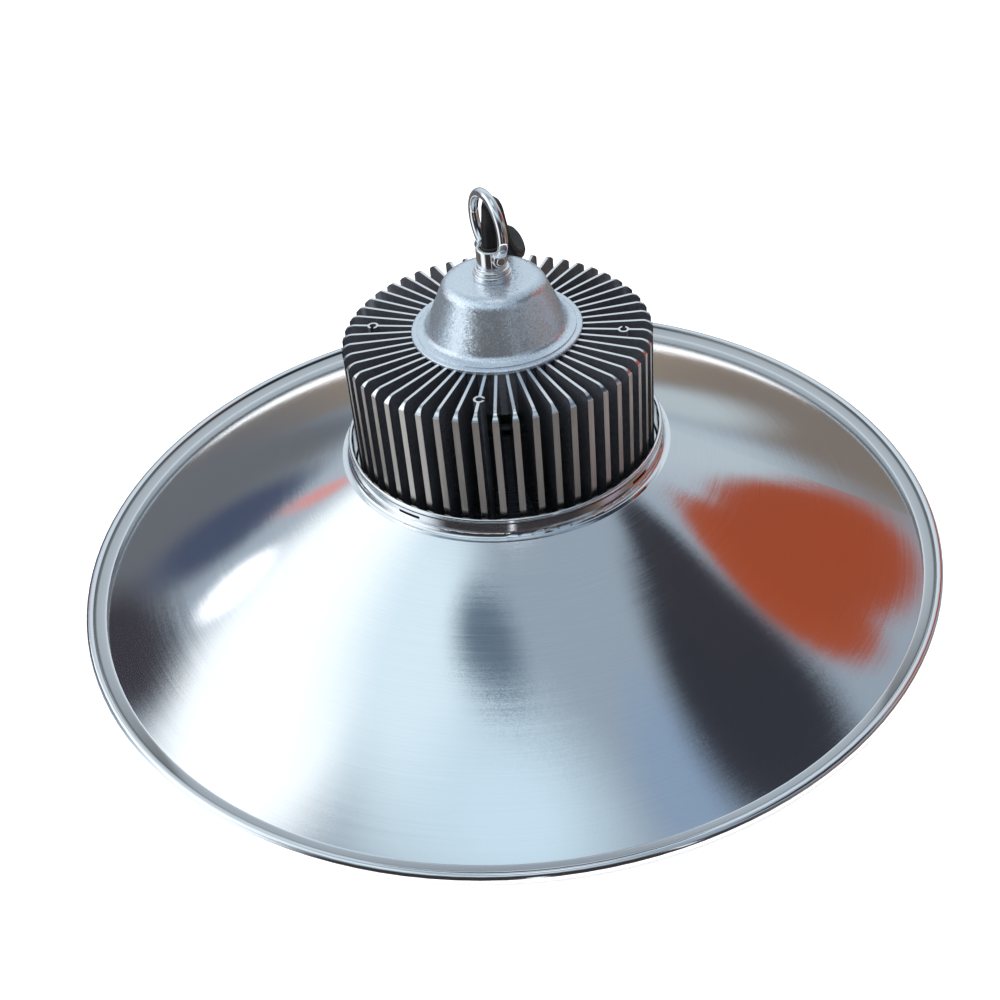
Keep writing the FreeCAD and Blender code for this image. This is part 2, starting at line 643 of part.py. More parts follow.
def hook_bail():
    """Round bow of polished rod. Its ends turn in and are forged into eyes for the pivot pins."""
    def on_bow(degrees):
        a = math.radians(degrees)
        return pivot_frame(BOW_RADIUS * math.cos(a), 0, BOW_CENTRE_HEIGHT + BOW_RADIUS * math.sin(a))

    def to_eye(side):
        a = math.radians(BOW_OVERRUN)
        along = BOW_RADIUS * math.cos(a)
        up = BOW_CENTRE_HEIGHT - BOW_RADIUS * math.sin(a)
        step = (along - EYE_CENTRE) / math.sin(a)
        return pivot_frame(side * EYE_CENTRE, 0, up - step * math.cos(a))

    first, last = on_bow(-BOW_OVERRUN), on_bow(180 + BOW_OVERRUN)
    route = Part.Wire([
        Part.LineSegment(to_eye(1), first).toShape(),
        Part.Arc(first, on_bow(90), last).toShape(),
        Part.LineSegment(last, to_eye(-1)).toShape(),
    ])
    ring = Part.Wire(Part.Circle(to_eye(1), (first - to_eye(1)).normalize(), ROD_RADIUS).toShape())
    bow = route.makePipeShell([ring], True, True)
    axis = (pivot_frame(1, 0, 0) - pivot_frame(0, 0, 0)).normalize()
    eyes, holes, planed = [], [], []
    for side in (1, -1):
        centre = pivot_frame(side * EYE_CENTRE, 0, 0)
        eye = cylinder(EYE_RADIUS, EYE_THICKNESS, centre - axis * (EYE_THICKNESS / 2), axis)
        eyes.append(eye.makeFillet(0.6, eye.Edges))
        holes.append(cylinder(PIN_RADIUS + SLIDE * 2, EYE_THICKNESS * 2, centre - axis * EYE_THICKNESS, axis))
        for way in (1, -1):
            face = centre + axis * (way * EYE_THICKNESS / 2)
            planed.append(cylinder(EYE_RADIUS, ROD_RADIUS * 2, face, axis * way))
    put("hook_bail", drilled(drilled(bow, planed).multiFuse(eyes), holes).removeSplitter())


# ---------------------------------------------------------------- under the heatsink
def base_plate():
    """Thick aluminium plate between the heatsink and the LED board."""
    plate = cylinder(HEATSINK_RADIUS, PLATE_THICKNESS, V(0, 0, PLATE_Z))
    plate = plate.makeChamfer(0.5, [e for e in plate.Edges if len(e.Vertexes) == 1])
    holes = [cylinder(CLAMP_SCREW[0] + FIT, PLATE_THICKNESS, polar(CHANNEL_PITCH_RADIUS, a, PLATE_Z))
             for a in CHANNEL_ANGLES]
    for a in TIE_ANGLES:
        holes.append(cylinder(TIE_SCREW[0] + FIT, PLATE_THICKNESS, polar(TIE_PITCH_RADIUS, a, PLATE_Z)))
        holes.append(cylinder(TIE_SCREW[1] + FIT, TIE_SCREW[2] + SLIDE, polar(TIE_PITCH_RADIUS, a, PLATE_Z)))
    for place in board_screw_places():
        holes.append(cylinder(SMALL_SCREW[0] + SLIDE, SMALL_SCREW_REACH + FIT, place + UP * PLATE_Z))
    for place in foot_screw_places():
        holes.append(cylinder(SMALL_SCREW[0] + SLIDE, SMALL_SCREW_REACH + FIT,
                              place + UP * (HEATSINK_Z - SMALL_SCREW_REACH - FIT)))
    holes.append(cylinder(LEAD_HOLE_RADIUS, PLATE_THICKNESS, lead_hole_place() + UP * PLATE_Z))
    put("base_plate", drilled(plate, holes))
    ties = [screw(TIE_SCREW, TOP_Z + TIE_SCREW_REACH - PLATE_Z - TIE_SCREW[2], PLATE_Z + TIE_SCREW[2])
            for _ in TIE_ANGLES]
    for tie, a in zip(ties, TIE_ANGLES):
        tie.translate(polar(TIE_PITCH_RADIUS, a))
    put("cover_tie_screws", Part.makeCompound(ties))


def board_screw_places():
    return [polar(BOARD_SCREW_PITCH_RADIUS, DRIVER_ANGLE + 360.0 * k / BOARD_SCREW_COUNT)
            for k in range(BOARD_SCREW_COUNT)]


def lead_hole_place():
    return polar(LEAD_HOLE_PITCH_RADIUS, DRIVER_ANGLE + 180)


def led_board():
    """Round aluminium board with rings of LED packages, on its thermal pad."""
    lead_hole = cylinder(LEAD_HOLE_RADIUS, PLATE_THICKNESS, lead_hole_place() + UP * BOARD_Z)
    screws = board_screw_places()
    holes = [cylinder(SMALL_SCREW[0] + FIT, PLATE_THICKNESS, p + UP * BOARD_Z) for p in screws]
    board = cylinder(BOARD_RADIUS, BOARD_THICKNESS, V(0, 0, BOARD_Z))
    pad = cylinder(BOARD_RADIUS - 1, PAD_THICKNESS, V(0, 0, BOARD_Z + BOARD_THICKNESS))
    put("led_board", drilled(board, holes + [lead_hole]))
    put("thermal_pad", drilled(pad, holes + [lead_hole]))
    chip = box(CHIP_SIZE, CHIP_SIZE, CHIP_HEIGHT, V(0, 0, CHIP_Z))
    chips = []
    for count, radius in CHIP_RINGS:
        moved = chip.translated(V(radius, 0, 0))
        chips += round_array(moved, count, DRIVER_ANGLE + 180.0 / count)
    put("led_chips", Part.makeCompound(chips))
    fixing = screw(SMALL_SCREW, BOARD_THICKNESS + PAD_THICKNESS + SMALL_SCREW_REACH, BOARD_Z)
    put("led_board_screws", Part.makeCompound([fixing.translated(p) for p in screws]))


def lens():
    """Flat toughened glass, its silicone seal and the ring that clamps both."""
    disc = cylinder(LENS_RADIUS, LENS_THICKNESS, V(0, 0, LENS_Z))
    put("lens", disc.makeChamfer(0.4, [e for e in disc.Edges if len(e.Vertexes) == 1]))
    seal_z = LENS_Z + LENS_THICKNESS
    put("lens_gasket", tube(LENS_RADIUS, LENS_RADIUS - LENS_GASKET_WIDTH, PLATE_Z - seal_z, V(0, 0, seal_z)))
    opening = LENS_RADIUS - LENS_LIP
    ring = turned([
        (opening + LENS_LIP_THICKNESS, LENS_RING_Z),
        (LENS_RING_RADIUS, LENS_RING_Z, 1.6),
        (LENS_RING_RADIUS, LENS_RING_SEAT, 0.4),
        (LENS_POCKET, LENS_RING_SEAT),
        (LENS_POCKET, LENS_Z),
        (opening, LENS_Z),
    ])
    holes = []
    for a in CHANNEL_ANGLES:
        place = polar(CHANNEL_PITCH_RADIUS, a, LENS_RING_Z)
        holes.append(cylinder(CLAMP_SCREW[0] + FIT, LENS_RING_HEIGHT, place))
        holes.append(cylinder(CLAMP_SCREW[1] + FIT, CLAMP_SCREW[2] + FIT, place))
    put("lens_ring", drilled(ring, holes))
    seat = LENS_RING_Z + CLAMP_SCREW[2] + FIT
    clamp = screw(CLAMP_SCREW, HEATSINK_Z + CLAMP_SCREW_REACH - seat, seat)
    put("clamp_screws", Part.makeCompound([
        clamp.translated(polar(CHANNEL_PITCH_RADIUS, a)) for a in CHANNEL_ANGLES]))


# ---------------------------------------------------------------- driver
def driver_place(across, out, z):
    """A point from the driver's own directions: across the board, out towards its face, and up."""
    facing = polar(1, DRIVER_ANGLE)
    side = polar(1, DRIVER_ANGLE + 90)
    return side * across + facing * out + UP * z


def driver_box(width, depth, height, across, out, z):
    """A box on its base centre in the driver's own directions."""
    block = box(depth, width, height, V(out, across, z))
    return turn(block, DRIVER_ANGLE)


def foot_screw_places():
    inset = FRAME_WIDTH / 2 - 8
    return [driver_place(side * inset, PCB_DISTANCE - FRAME_DEPTH + 5, 0) for side in (-1, 1)]


def driver_frame():
    """Bent sheet frame: foot, two cheeks, a top shelf and tabs for the board."""
    depth_centre = PCB_DISTANCE - FRAME_SHEET - FRAME_DEPTH / 2
    foot = driver_box(FRAME_WIDTH, FRAME_DEPTH, FRAME_SHEET, 0, depth_centre, FOOT_Z)
    shelf = driver_box(FRAME_WIDTH, FRAME_DEPTH, FRAME_SHEET, 0, depth_centre, FOOT_Z + FRAME_HEIGHT - FRAME_SHEET)
    pieces = [foot, shelf]
    cheek_across = FRAME_WIDTH / 2 - FRAME_SHEET / 2
    for side in (-1, 1):
        pieces.append(driver_box(FRAME_SHEET, FRAME_DEPTH, FRAME_HEIGHT, side * cheek_across, depth_centre, FOOT_Z))
        tab_across = side * (FRAME_WIDTH / 2 - TAB_WIDTH / 2)
        pieces.append(driver_box(TAB_WIDTH, FRAME_SHEET, PCB_HEIGHT, tab_across,
                                 PCB_DISTANCE - FRAME_SHEET / 2, FOOT_Z + PCB_FOOT))
    frame = pieces[0].multiFuse(pieces[1:]).removeSplitter()
    vent = driver_box(FRAME_WIDTH * 2, FRAME_DEPTH * 0.5, FRAME_HEIGHT * 0.6, 0, depth_centre,
                      FOOT_Z + FRAME_HEIGHT * 0.2)
    holes = [cylinder(SMALL_SCREW[0] + FIT, FRAME_SHEET * 3, p + UP * (FOOT_Z - FRAME_SHEET))
             for p in foot_screw_places()]
    facing = polar(1, DRIVER_ANGLE)
    holes += [cylinder(SMALL_SCREW[0] + SLIDE, FRAME_SHEET * 4, p - facing * FRAME_SHEET * 2, facing)
              for p in pcb_screw_places()]
    put("driver_frame", drilled(frame, holes + [vent]))
    foot_screw = screw(SMALL_SCREW, FRAME_SHEET + SMALL_SCREW_REACH, 0)
    foot_screw.rotate(V(), V(1, 0, 0), 180)
    put("frame_screws", Part.makeCompound([
        foot_screw.translated(p + UP * (FOOT_Z + FRAME_SHEET)) for p in foot_screw_places()]))


def pcb_screw_places():
    """Where the board's screws meet its front face."""
    low = FOOT_Z + PCB_FOOT + 4
    high = FOOT_Z + PCB_FOOT + PCB_HEIGHT - 4
    across = FRAME_WIDTH / 2 - TAB_WIDTH / 2
    return [driver_place(side * across, PCB_DISTANCE, z) for side in (-1, 1) for z in (low, high)]


def driver_board():
    """Driver circuit board with its parts on the side that faces the lamp's axis."""
    board_z = FOOT_Z + PCB_FOOT
    board = driver_box(PCB_WIDTH, PCB_THICKNESS, PCB_HEIGHT, 0, PCB_DISTANCE + PCB_THICKNESS / 2, board_z)
    facing = polar(1, DRIVER_ANGLE)
    holes = [cylinder(SMALL_SCREW[0] + FIT, PCB_THICKNESS * 3, p - facing * PCB_THICKNESS, facing)
             for p in pcb_screw_places()]
    put("driver_board", drilled(board, holes))
    fixing = screw(SMALL_SCREW, PCB_THICKNESS + FRAME_SHEET + 1.5, 0)
    fixing.rotate(V(), V(0, 1, 0), -90)
    fixing = turn(fixing, DRIVER_ANGLE)
    put("driver_board_screws", Part.makeCompound([
        fixing.translated(p + facing * PCB_THICKNESS) for p in pcb_screw_places()]))
    width, depth, height = TRANSFORMER
    core = driver_box(width, depth, height, 0, PCB_DISTANCE - depth / 2, board_z + 3)
    bobbin = driver_box(width * 0.72, depth * 1.2, height * 0.55, 0, PCB_DISTANCE - depth * 0.6,
                        board_z + 3 + height * 0.225)
    put("driver_transformer", core.fuse(bobbin).removeSplitter())
    cans = []
    for across, below, radius, length in CAPACITORS:
        can = cylinder(radius, length, driver_place(across, PCB_DISTANCE, PCB_TOP - below), facing * -1)
        far = [e for e in can.Edges if len(e.Vertexes) == 1]
        cans.append(can.makeFillet(0.6, far))
    put("driver_capacitors", Part.makeCompound(cans))
    across, below, ring, wire = CHOKE
    choke = Part.makeTorus(ring, wire, driver_place(across, PCB_DISTANCE - wire, PCB_TOP - below), facing)
    put("driver_choke", choke)


def terminal_block():
    """Three-way terminal block on the frame's shelf."""
    width, depth, height = TERMINAL
    z = FOOT_Z + FRAME_HEIGHT
    out = PCB_DISTANCE - FRAME_SHEET - FRAME_DEPTH / 2
    body = driver_box(width, depth, height, 0, out, z)
    step = driver_box(width * 2, depth * 0.3, height * 0.35, 0, out - depth * 0.35, z + height * 0.65)
    body = body.cut(step)
    wells = []
    for k in (-1, 0, 1):
        wells.append(cylinder(TERMINAL_SCREW_RADIUS, height * 0.3,
                              driver_place(k * width / 3, out + depth * 0.12, z + height * 0.7)))
    put("terminal_block", drilled(body, wells))


# ---------------------------------------------------------------- cable
def cable():
    """Supply cable: grommet, clamp, inner end, free length and its stripped cores."""
    put("cord_grommet", turned([
        (CABLE_RADIUS + SLIDE, WASHER_TOP + 1),
        (SLEEVE_BORE - SLIDE, WASHER_TOP + 1),
        (SLEEVE_BORE - SLIDE, GROMMET_TOP, GROMMET_LIP / 2),
        (CABLE_RADIUS + SLIDE, GROMMET_TOP),
    ]))
    put("cord_tail", cylinder(CABLE_RADIUS, GROMMET_TOP - TAIL_END, V(0, 0, TAIL_END)))
    clamp_z = STEM_END - 7
    collar = tube(CABLE_RADIUS + 3, CABLE_RADIUS + SLIDE, 6, V(0, 0, clamp_z))
    screw_line = CABLE_RADIUS + 5.2
    lug = box(7, 6, 6, V(screw_line - 0.8, 0, clamp_z)).cut(cylinder(CABLE_RADIUS + 1, 6, V(0, 0, clamp_z)))
    gap = box(CABLE_RADIUS * 3, 0.8, 6, V(CABLE_RADIUS * 1.5, 0, clamp_z))
    hole = cylinder(SMALL_SCREW[0] + SLIDE, 10, V(screw_line, -5, clamp_z + 3), V(0, 1, 0))
    put("cord_clamp", drilled(collar.fuse(lug), [gap, hole]).removeSplitter())
    clamp_screw = screw(SMALL_SCREW, 6.5, 0)
    clamp_screw.rotate(V(), V(1, 0, 0), -90)
    put("cord_clamp_screw", clamp_screw.translated(V(screw_line, -3, clamp_z + 3)))

    points = [V(*p) for p in CABLE_ROUTE]
    points[0].z = GROMMET_TOP
    radii = route_radii(points)
    print("cable bend radii", [round(r, 1) for r in radii[1:-1]])
    body, length = wire_solid(points, radii, CABLE_RADIUS)
    print("cable length", round(length, 1), "volume", round(body.Volume, 1),
          "section times length", round(math.pi * CABLE_RADIUS ** 2 * length, 1))
    put("supply_cord", body)
    stripped_cores(points)
    mains_leads()


def core_offsets():
    """Centres of the three cores in the cable's section, 120 degrees apart."""
    spread = CORE_WIRE_RADIUS / math.sin(math.pi / 3) + SLIDE
    return [(spread * math.cos(math.radians(a)), spread * math.sin(math.radians(a))) for a in (90, 210, 330)]


CORE_NAMES = ("brown", "blue", "earth")
CORE_WAYS = (0, -1, 1)          # each core's way in the terminal block


def stripped_cores(points):
    """The three cores that show where the sheath is stripped at the cable's free end."""
    end = points[-1]
    along = (points[-1] - points[-2]).normalize()
    across = along.cross(UP).normalize()
    over = across.cross(along)
    for name, (u, v) in zip(CORE_NAMES, core_offsets()):
        start = end + across * u + over * v
        spread = u / CABLE_RADIUS
        bend = start + along * (STRIPPED_LENGTH * 0.4)
        tip = start + along * STRIPPED_LENGTH + across * (WIRE_FAN * spread)
        if name == "brown":
            tip = tip + over * 1.5
        else:
            tip = tip + over * 0.4
        route = [start, bend, tip]
        body, _ = wire_solid(route, route_radii(route), CORE_WIRE_RADIUS)
        put("cord_core_" + name, body)


def mains_leads():
    """The same cores inside the cover, from the sheath's end to the terminal block."""
    width, depth, height = TERMINAL
    out = PCB_DISTANCE - FRAME_SHEET - FRAME_DEPTH / 2 - depth / 2
    low = FOOT_Z + FRAME_HEIGHT + height * 0.3
    facing = polar(1, DRIVER_ANGLE)
    for name, way, (u, v) in zip(CORE_NAMES, CORE_WAYS, core_offsets()):
        start = V(u, v, TAIL_END)
        under = V(u, v, TAIL_END - 3.2)
        entry = driver_place(way * width / 3, out, low)
        route = [start, under, entry - facing * 7, entry]
        body, _ = wire_solid(route, route_radii(route), CORE_WIRE_RADIUS)
        put("mains_lead_" + name, body)


def led_leads():
    """Two leads from the driver down through the base plate to the LED board."""
    leads = []
    place = lead_hole_place()
    side = polar(1, DRIVER_ANGLE + 90)
    for k in (-1, 1):
        low = place + side * k * 1.15 + UP * (BOARD_Z + 0.3)
        high = low + UP * (HEATSINK_Z + LED_LEAD_RISE - BOARD_Z)
        end = driver_place(k * 4, PCB_DISTANCE - TRANSFORMER[1] * 1.2 - 2, HEATSINK_Z + LED_LEAD_END)
        route = [low, high, end]
        body, _ = wire_solid(route, route_radii(route), 0.9)
        leads.append(body)
    put("led_leads", Part.makeCompound(leads))


def main():
    os.makedirs("parts", exist_ok=True)
    for make in (reflector, mounting_ring, heatsink, top_cover, hook_sleeve, stem_nut, pivot_pins, hook_bail,
                 base_plate, led_board, lens, driver_frame, driver_board, terminal_block, cable, led_leads):
        make()
    for name, shape in PARTS.items():
        if not shape.isValid():
            print("not valid:", name)
        shape.exportStep(f"parts/{name}.step")
    print(len(PARTS), "nodes")


main()
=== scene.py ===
"""Dresses the high bay light: a spun reflector, a finned heatsink, a cast cover, its hook and its cable."""

import math

import bmesh
import bpy
from mathutils import Matrix, Vector


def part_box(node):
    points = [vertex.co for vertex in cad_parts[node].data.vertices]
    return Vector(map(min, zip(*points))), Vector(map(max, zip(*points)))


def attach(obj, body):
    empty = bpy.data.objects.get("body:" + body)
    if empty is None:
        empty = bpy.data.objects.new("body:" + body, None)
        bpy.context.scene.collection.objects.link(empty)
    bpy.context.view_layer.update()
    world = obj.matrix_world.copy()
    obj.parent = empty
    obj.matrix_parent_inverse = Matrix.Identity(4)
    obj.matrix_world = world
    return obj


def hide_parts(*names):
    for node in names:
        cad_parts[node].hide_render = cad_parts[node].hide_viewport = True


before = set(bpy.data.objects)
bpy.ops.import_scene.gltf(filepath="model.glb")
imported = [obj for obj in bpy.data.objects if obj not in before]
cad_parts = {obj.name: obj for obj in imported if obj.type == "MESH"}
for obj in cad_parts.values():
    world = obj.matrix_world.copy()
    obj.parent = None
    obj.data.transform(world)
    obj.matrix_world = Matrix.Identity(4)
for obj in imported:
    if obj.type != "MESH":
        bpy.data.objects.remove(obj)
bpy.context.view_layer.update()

bl_info = {
    "name": "High bay light",
    "version": (1, 0, 0),
    "blender": (4, 5, 0),
    "location": "3D View > Sidebar > Lamp",
    "description": "Finishes, cable and studio for a high bay light",
    "category": "Object",
}

MM = 0.001

# Places on the built parts that the finishes follow.
HEATSINK_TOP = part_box("heatsink")[1].z
FIN_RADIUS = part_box("heatsink")[1].x
RING_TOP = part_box("mounting_ring")[1].z
CHIP_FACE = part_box("led_chips")[0].z
CREASE_RADIUS = 215 * MM
FLANGE_WIDTH = 7 * MM
TONGUE_RADIUS = 78.15 * MM  # past it, the mounting ring is inside the reflector's slots, where it is painted in shade
RING_LIP = 2.4 * MM
TURNED_DEPTH = 4 * MM  # below the heatsink's top, where its ends were turned
TIP_DEPTH = 0.25 * MM  # bare metal at the fins' tips
FACING = 0.35  # how much a turned face looks up or down, from 0 to 1

# How many light sources stand on each ring of the board, the ring's radius, and where the first one stands.
CHIP_RINGS = ((6, 11.5 * MM), (12, 22.5 * MM), (18, 30.5 * MM), (24, 38.5 * MM))
CHIP_START = 272.5
DOME_RADIUS = 1.15 * MM
DOME_FLATNESS = 0.16

CABLE_RADIUS = 3.75 * MM

# The stripped cores, brown, blue and earth: their angles round the cable, and how far their ends are lifted.
CORE_LAY = ((90, 1.5 * MM), (210, 0.4 * MM), (330, 0.4 * MM))
CORE_RADIUS = 1.25 * MM
CORE_OFFSET = 1.4934 * MM  # from the cable's line to the core's
CORE_BEND = 12.8 * MM  # the straight run before the cores spread
CORE_LENGTH = 32 * MM
CORE_SPREAD = 1.6  # how far a core's end goes sideways, in offsets
STRAND_RADIUS = 0.19 * MM
STRAND_CIRCLE = 0.42  # the circle that the outer strands lie on, in radii of a core
STRAND_SPLAY = 0.07

# The studio.
TENT_RADIUS = 0.6
TENT_MIDDLE = 0.05
TENT_FOOT = 2 * MM
TENT_OPENING = 0.25
FLOOR_RADIUS = 6.0
FLOOR_DROP = 0.5 * MM
NEAR_FLOOR, FAR_FLOOR = 0.6, 2.4  # between these radii the floor's lift grows
LAMP_AIM = 0.08
CAMERA_SHIFT = -0.08
CAMERA_SIDE, CAMERA_RISE = 34.66 * MM, 20.03 * MM  # across and up the picture, from the rim's middle
RIM_PLANE = 1 * MM

# Control points of the cable's line, in millimetres, from the grommet to the stripped end.
CABLE_ROUTE = (
    (0, 0, 177.3),
    (0, 0, 184.4),
    (0.6, 5.6, 190),
    (0.4, 14.9, 191.3),
    (2.4, 21.9, 186.1),
    (3.7, 25.3, 174.3),
    (5.6, 31.7, 160.3),
    (9.4, 41.6, 148.4),
    (11.5, 54, 145.2),
    (7, 70.6, 146),
    (1.1, 83.5, 140.1),
    (-2.8, 93.6, 130.4),
    (-5, 102, 116.8),
    (-6.4, 106.8, 100.5),
    (-7.4, 110.4, 78.8),
    (-7.9, 116, 65),
    (-8, 124.8, 54.6),
    (-7, 136.5, 47),
    (-4, 151, 38),
    (1, 165.5, 30.8),
    (7, 177.5, 24.5),
)


# ------------------------------------------------------------------------------ settings
def colour(label, words, value):
    """A colour that the user can change."""
    return bpy.props.FloatVectorProperty(
        name=label, description=words, subtype="COLOR", size=4, min=0.0, max=1.0, default=(*value, 1.0))


def share(label, words, value, low=0.0, high=1.0):
    """A plain number without a unit."""
    return bpy.props.FloatProperty(name=label, description=words, default=value, min=low, max=high)


def length(label, words, value, low=0.0):
    """A length in metres."""
    return bpy.props.FloatProperty(
        name=label, description=words, default=value, min=low, unit="LENGTH", precision=5)


def angle(label, words, degrees):
    """An angle, kept in radians."""
    return bpy.props.FloatProperty(
        name=label, description=words, default=math.radians(degrees), unit="ROTATION")


class FinishSettings(bpy.types.PropertyGroup):
    """Colours and gloss of the lamp's surfaces."""

    reflector: colour("Reflector", "Polished and anodised aluminium", (0.86, 0.88, 0.9))
    reflector_roughness: share("Reflector roughness", "Blur of what the reflector mirrors", 0.08)
    anodised: colour("Anodised", "Black coat on the fins' sides", (0.085, 0.094, 0.115))
    machined: colour("Machined", "Bare aluminium where the fins were turned", (0.86, 0.87, 0.89))
    cover: colour("Cover", "Silver paint on the cast cover", (0.78, 0.86, 0.94))
    chrome: colour("Chrome", "Plating on the hook", (0.83, 0.83, 0.84))
    zinc: colour("Zinc", "Plating on screws, nut and washers", (0.62, 0.62, 0.6))
    board: colour("Driver board", "Solder mask of the driver's board", (0.05, 0.3, 0.12))
    phosphor: colour("Phosphor", "Windows of the light sources", (0.9, 0.62, 0.07))


class CableSettings(bpy.types.PropertyGroup):
    """Sizes and colours of the supply cable."""

    radius: length("Radius", "Outer radius of the sheath", CABLE_RADIUS, 0.001)
    core_radius: length("Core radius", "Outer radius of one core", CORE_RADIUS, 0.0004)
    bare_length: length("Bare length", "Copper that shows at the end of each core", 6 * MM, 0.001)
    strands: bpy.props.IntProperty(
        name="Strands", description="Fine wires that show at the end of each core", default=7, min=3, max=19)
    sheath: colour("Sheath", "Black outer sheath", (0.007, 0.007, 0.008))
    copper: colour("Copper", "Bare strands", (0.83, 0.42, 0.24))


class StageSettings(bpy.types.PropertyGroup):
    """Floor, lamps and camera."""

    floor: colour("Floor", "Pale floor", (0.86, 0.86, 0.86))
    floor_lift: share("Floor lift", "How much the floor is lightened for the camera", 0.42)
    far_lift: share("Far lift", "The same, where the lamps no longer reach the floor", 0.62)
    elevation: angle("Elevation", "Camera's angle above the horizon", 38.51)
    roll: angle("Roll", "Camera's turn about its own axis", 2.88)
    distance: length("Distance", "From the camera to the middle of the rim's plane", 0.775, 0.1)
    lens: bpy.props.FloatProperty(
        name="Lens", description="Focal length on a sensor 36 mm wide", default=51.84, min=10.0, max=300.0)


# --------------------------------------------------------------------------- node helpers
def new_material(name):
    """A node material with its shader, and the tree to add to."""
    material = bpy.data.materials.new(name)
    material.use_nodes = True
    tree = material.node_tree
    return material, tree, tree.nodes["Principled BSDF"]


def add(tree, kind, inputs=None, **settings):
    """A node with its settings and its input values or links."""
    node = tree.nodes.new("ShaderNode" + kind)
    for key, value in settings.items():
        setattr(node, key, value)
    for key, value in (inputs or {}).items():
        feed(tree, node.inputs[key], value)
    return node


def feed(tree, socket, value):
    """Links an output to the socket, or sets its value."""
    if isinstance(value, bpy.types.NodeSocket):
        tree.links.new(value, socket)
    else:
        socket.default_value = value


def place(tree):
    """Object coordinates."""
    return add(tree, "TexCoord").outputs["Object"]


def maths(tree, operation, a, b=0.0, c=0.0, clamp=False):
    """One step of arithmetic."""
    return add(tree, "Math", {0: a, 1: b, 2: c}, operation=operation, use_clamp=clamp).outputs[0]


def split(tree, vector):
    """The three parts of a vector."""
    return add(tree, "SeparateXYZ", {0: vector}).outputs


def noise(tree, scale, detail=2.0, roughness=0.5, vector=None):
    """Cloudy noise from 0 to 1."""
    values = {"Scale": scale, "Detail": detail, "Roughness": roughness, "Vector": vector or place(tree)}
    return add(tree, "TexNoise", values).outputs["Fac"]


def steps(tree, value, *stops):
    """A smooth ramp through (position, colour) stops."""
    node = add(tree, "ValToRGB", {0: value})
    elements = node.color_ramp.elements
    while len(elements) < len(stops):
        elements.new(0.5)
    for element, (position, shade) in zip(elements, stops):
        element.position = position
        element.color = shade if isinstance(shade, (tuple, list)) else (shade, shade, shade, 1.0)
    return node.outputs["Color"]


def mix(tree, share_of_b, a, b):
    """Colour a turning into colour b."""
    node = add(tree, "Mix", data_type="RGBA")
    feed(tree, node.inputs["Factor"], share_of_b)
    feed(tree, node.inputs["A"], a)
    feed(tree, node.inputs["B"], b)
    return node.outputs["Result"]


def bump(tree, shader, height, distance, strength=1.0, normal=None):
    """Bends the light by a height map."""
    node = add(tree, "Bump", {"Height": height, "Distance": distance, "Strength": strength})
    if normal:
        tree.links.new(normal, node.inputs["Normal"])
    tree.links.new(node.outputs["Normal"], shader.inputs["Normal"])
    return node.outputs["Normal"]


def axis_distance(tree):
    """Distance from the lamp's axis."""
    flat = add(tree, "VectorMath", {0: place(tree), 1: (1.0, 1.0, 0.0)}, operation="MULTIPLY").outputs[0]
    return add(tree, "VectorMath", {0: flat}, operation="LENGTH").outputs["Value"]


def around(tree, across, along):
    """Coordinates that follow the turning marks: fine across them and long along them."""
    part = split(tree, place(tree))
    turn = maths(tree, "ARCTAN2", part["Y"], part["X"])
    radius = maths(tree, "MULTIPLY", axis_distance(tree), across)
    height = maths(tree, "MULTIPLY", part["Z"], across)
    sweep = maths(tree, "MULTIPLY", turn, along)
    return add(tree, "CombineXYZ", {0: radius, 1: sweep, 2: height}).outputs[0]


def metal(shader, shade, roughness):
    """Plain values of a bare or plated metal."""
    shader.inputs["Base Color"].default_value = shade
    shader.inputs["Metallic"].default_value = 1.0
    shader.inputs["Roughness"].default_value = roughness


def dress(material, *nodes):
    """Gives CAD nodes this material."""
    for name in nodes:
        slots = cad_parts[name].data.materials
        slots.clear()
        slots.append(material)


# ------------------------------------------------------------------------------ materials
def glints(tree, shader, scale, spread, amount=None, normal=None):
    """Turns each small grain of the surface its own way, so that single grains flash."""
    grains = add(tree, "TexVoronoi", {"Vector": place(tree), "Scale": scale}).outputs["Color"]
    centred = add(tree, "VectorMath", {0: grains, 1: (0.5, 0.5, 0.5)}, operation="SUBTRACT").outputs[0]
    size = maths(tree, "MULTIPLY", amount, spread) if amount else spread
    push = add(tree, "VectorMath", {0: centred, "Scale": size}, operation="SCALE").outputs[0]
    base = normal or add(tree, "NewGeometry").outputs["Normal"]
    tilted = add(tree, "VectorMath", {0: base, 1: push}, operation="ADD").outputs[0]
    unit = add(tree, "VectorMath", {0: tilted}, operation="NORMALIZE").outputs[0]
    tree.links.new(unit, shader.inputs["Normal"])


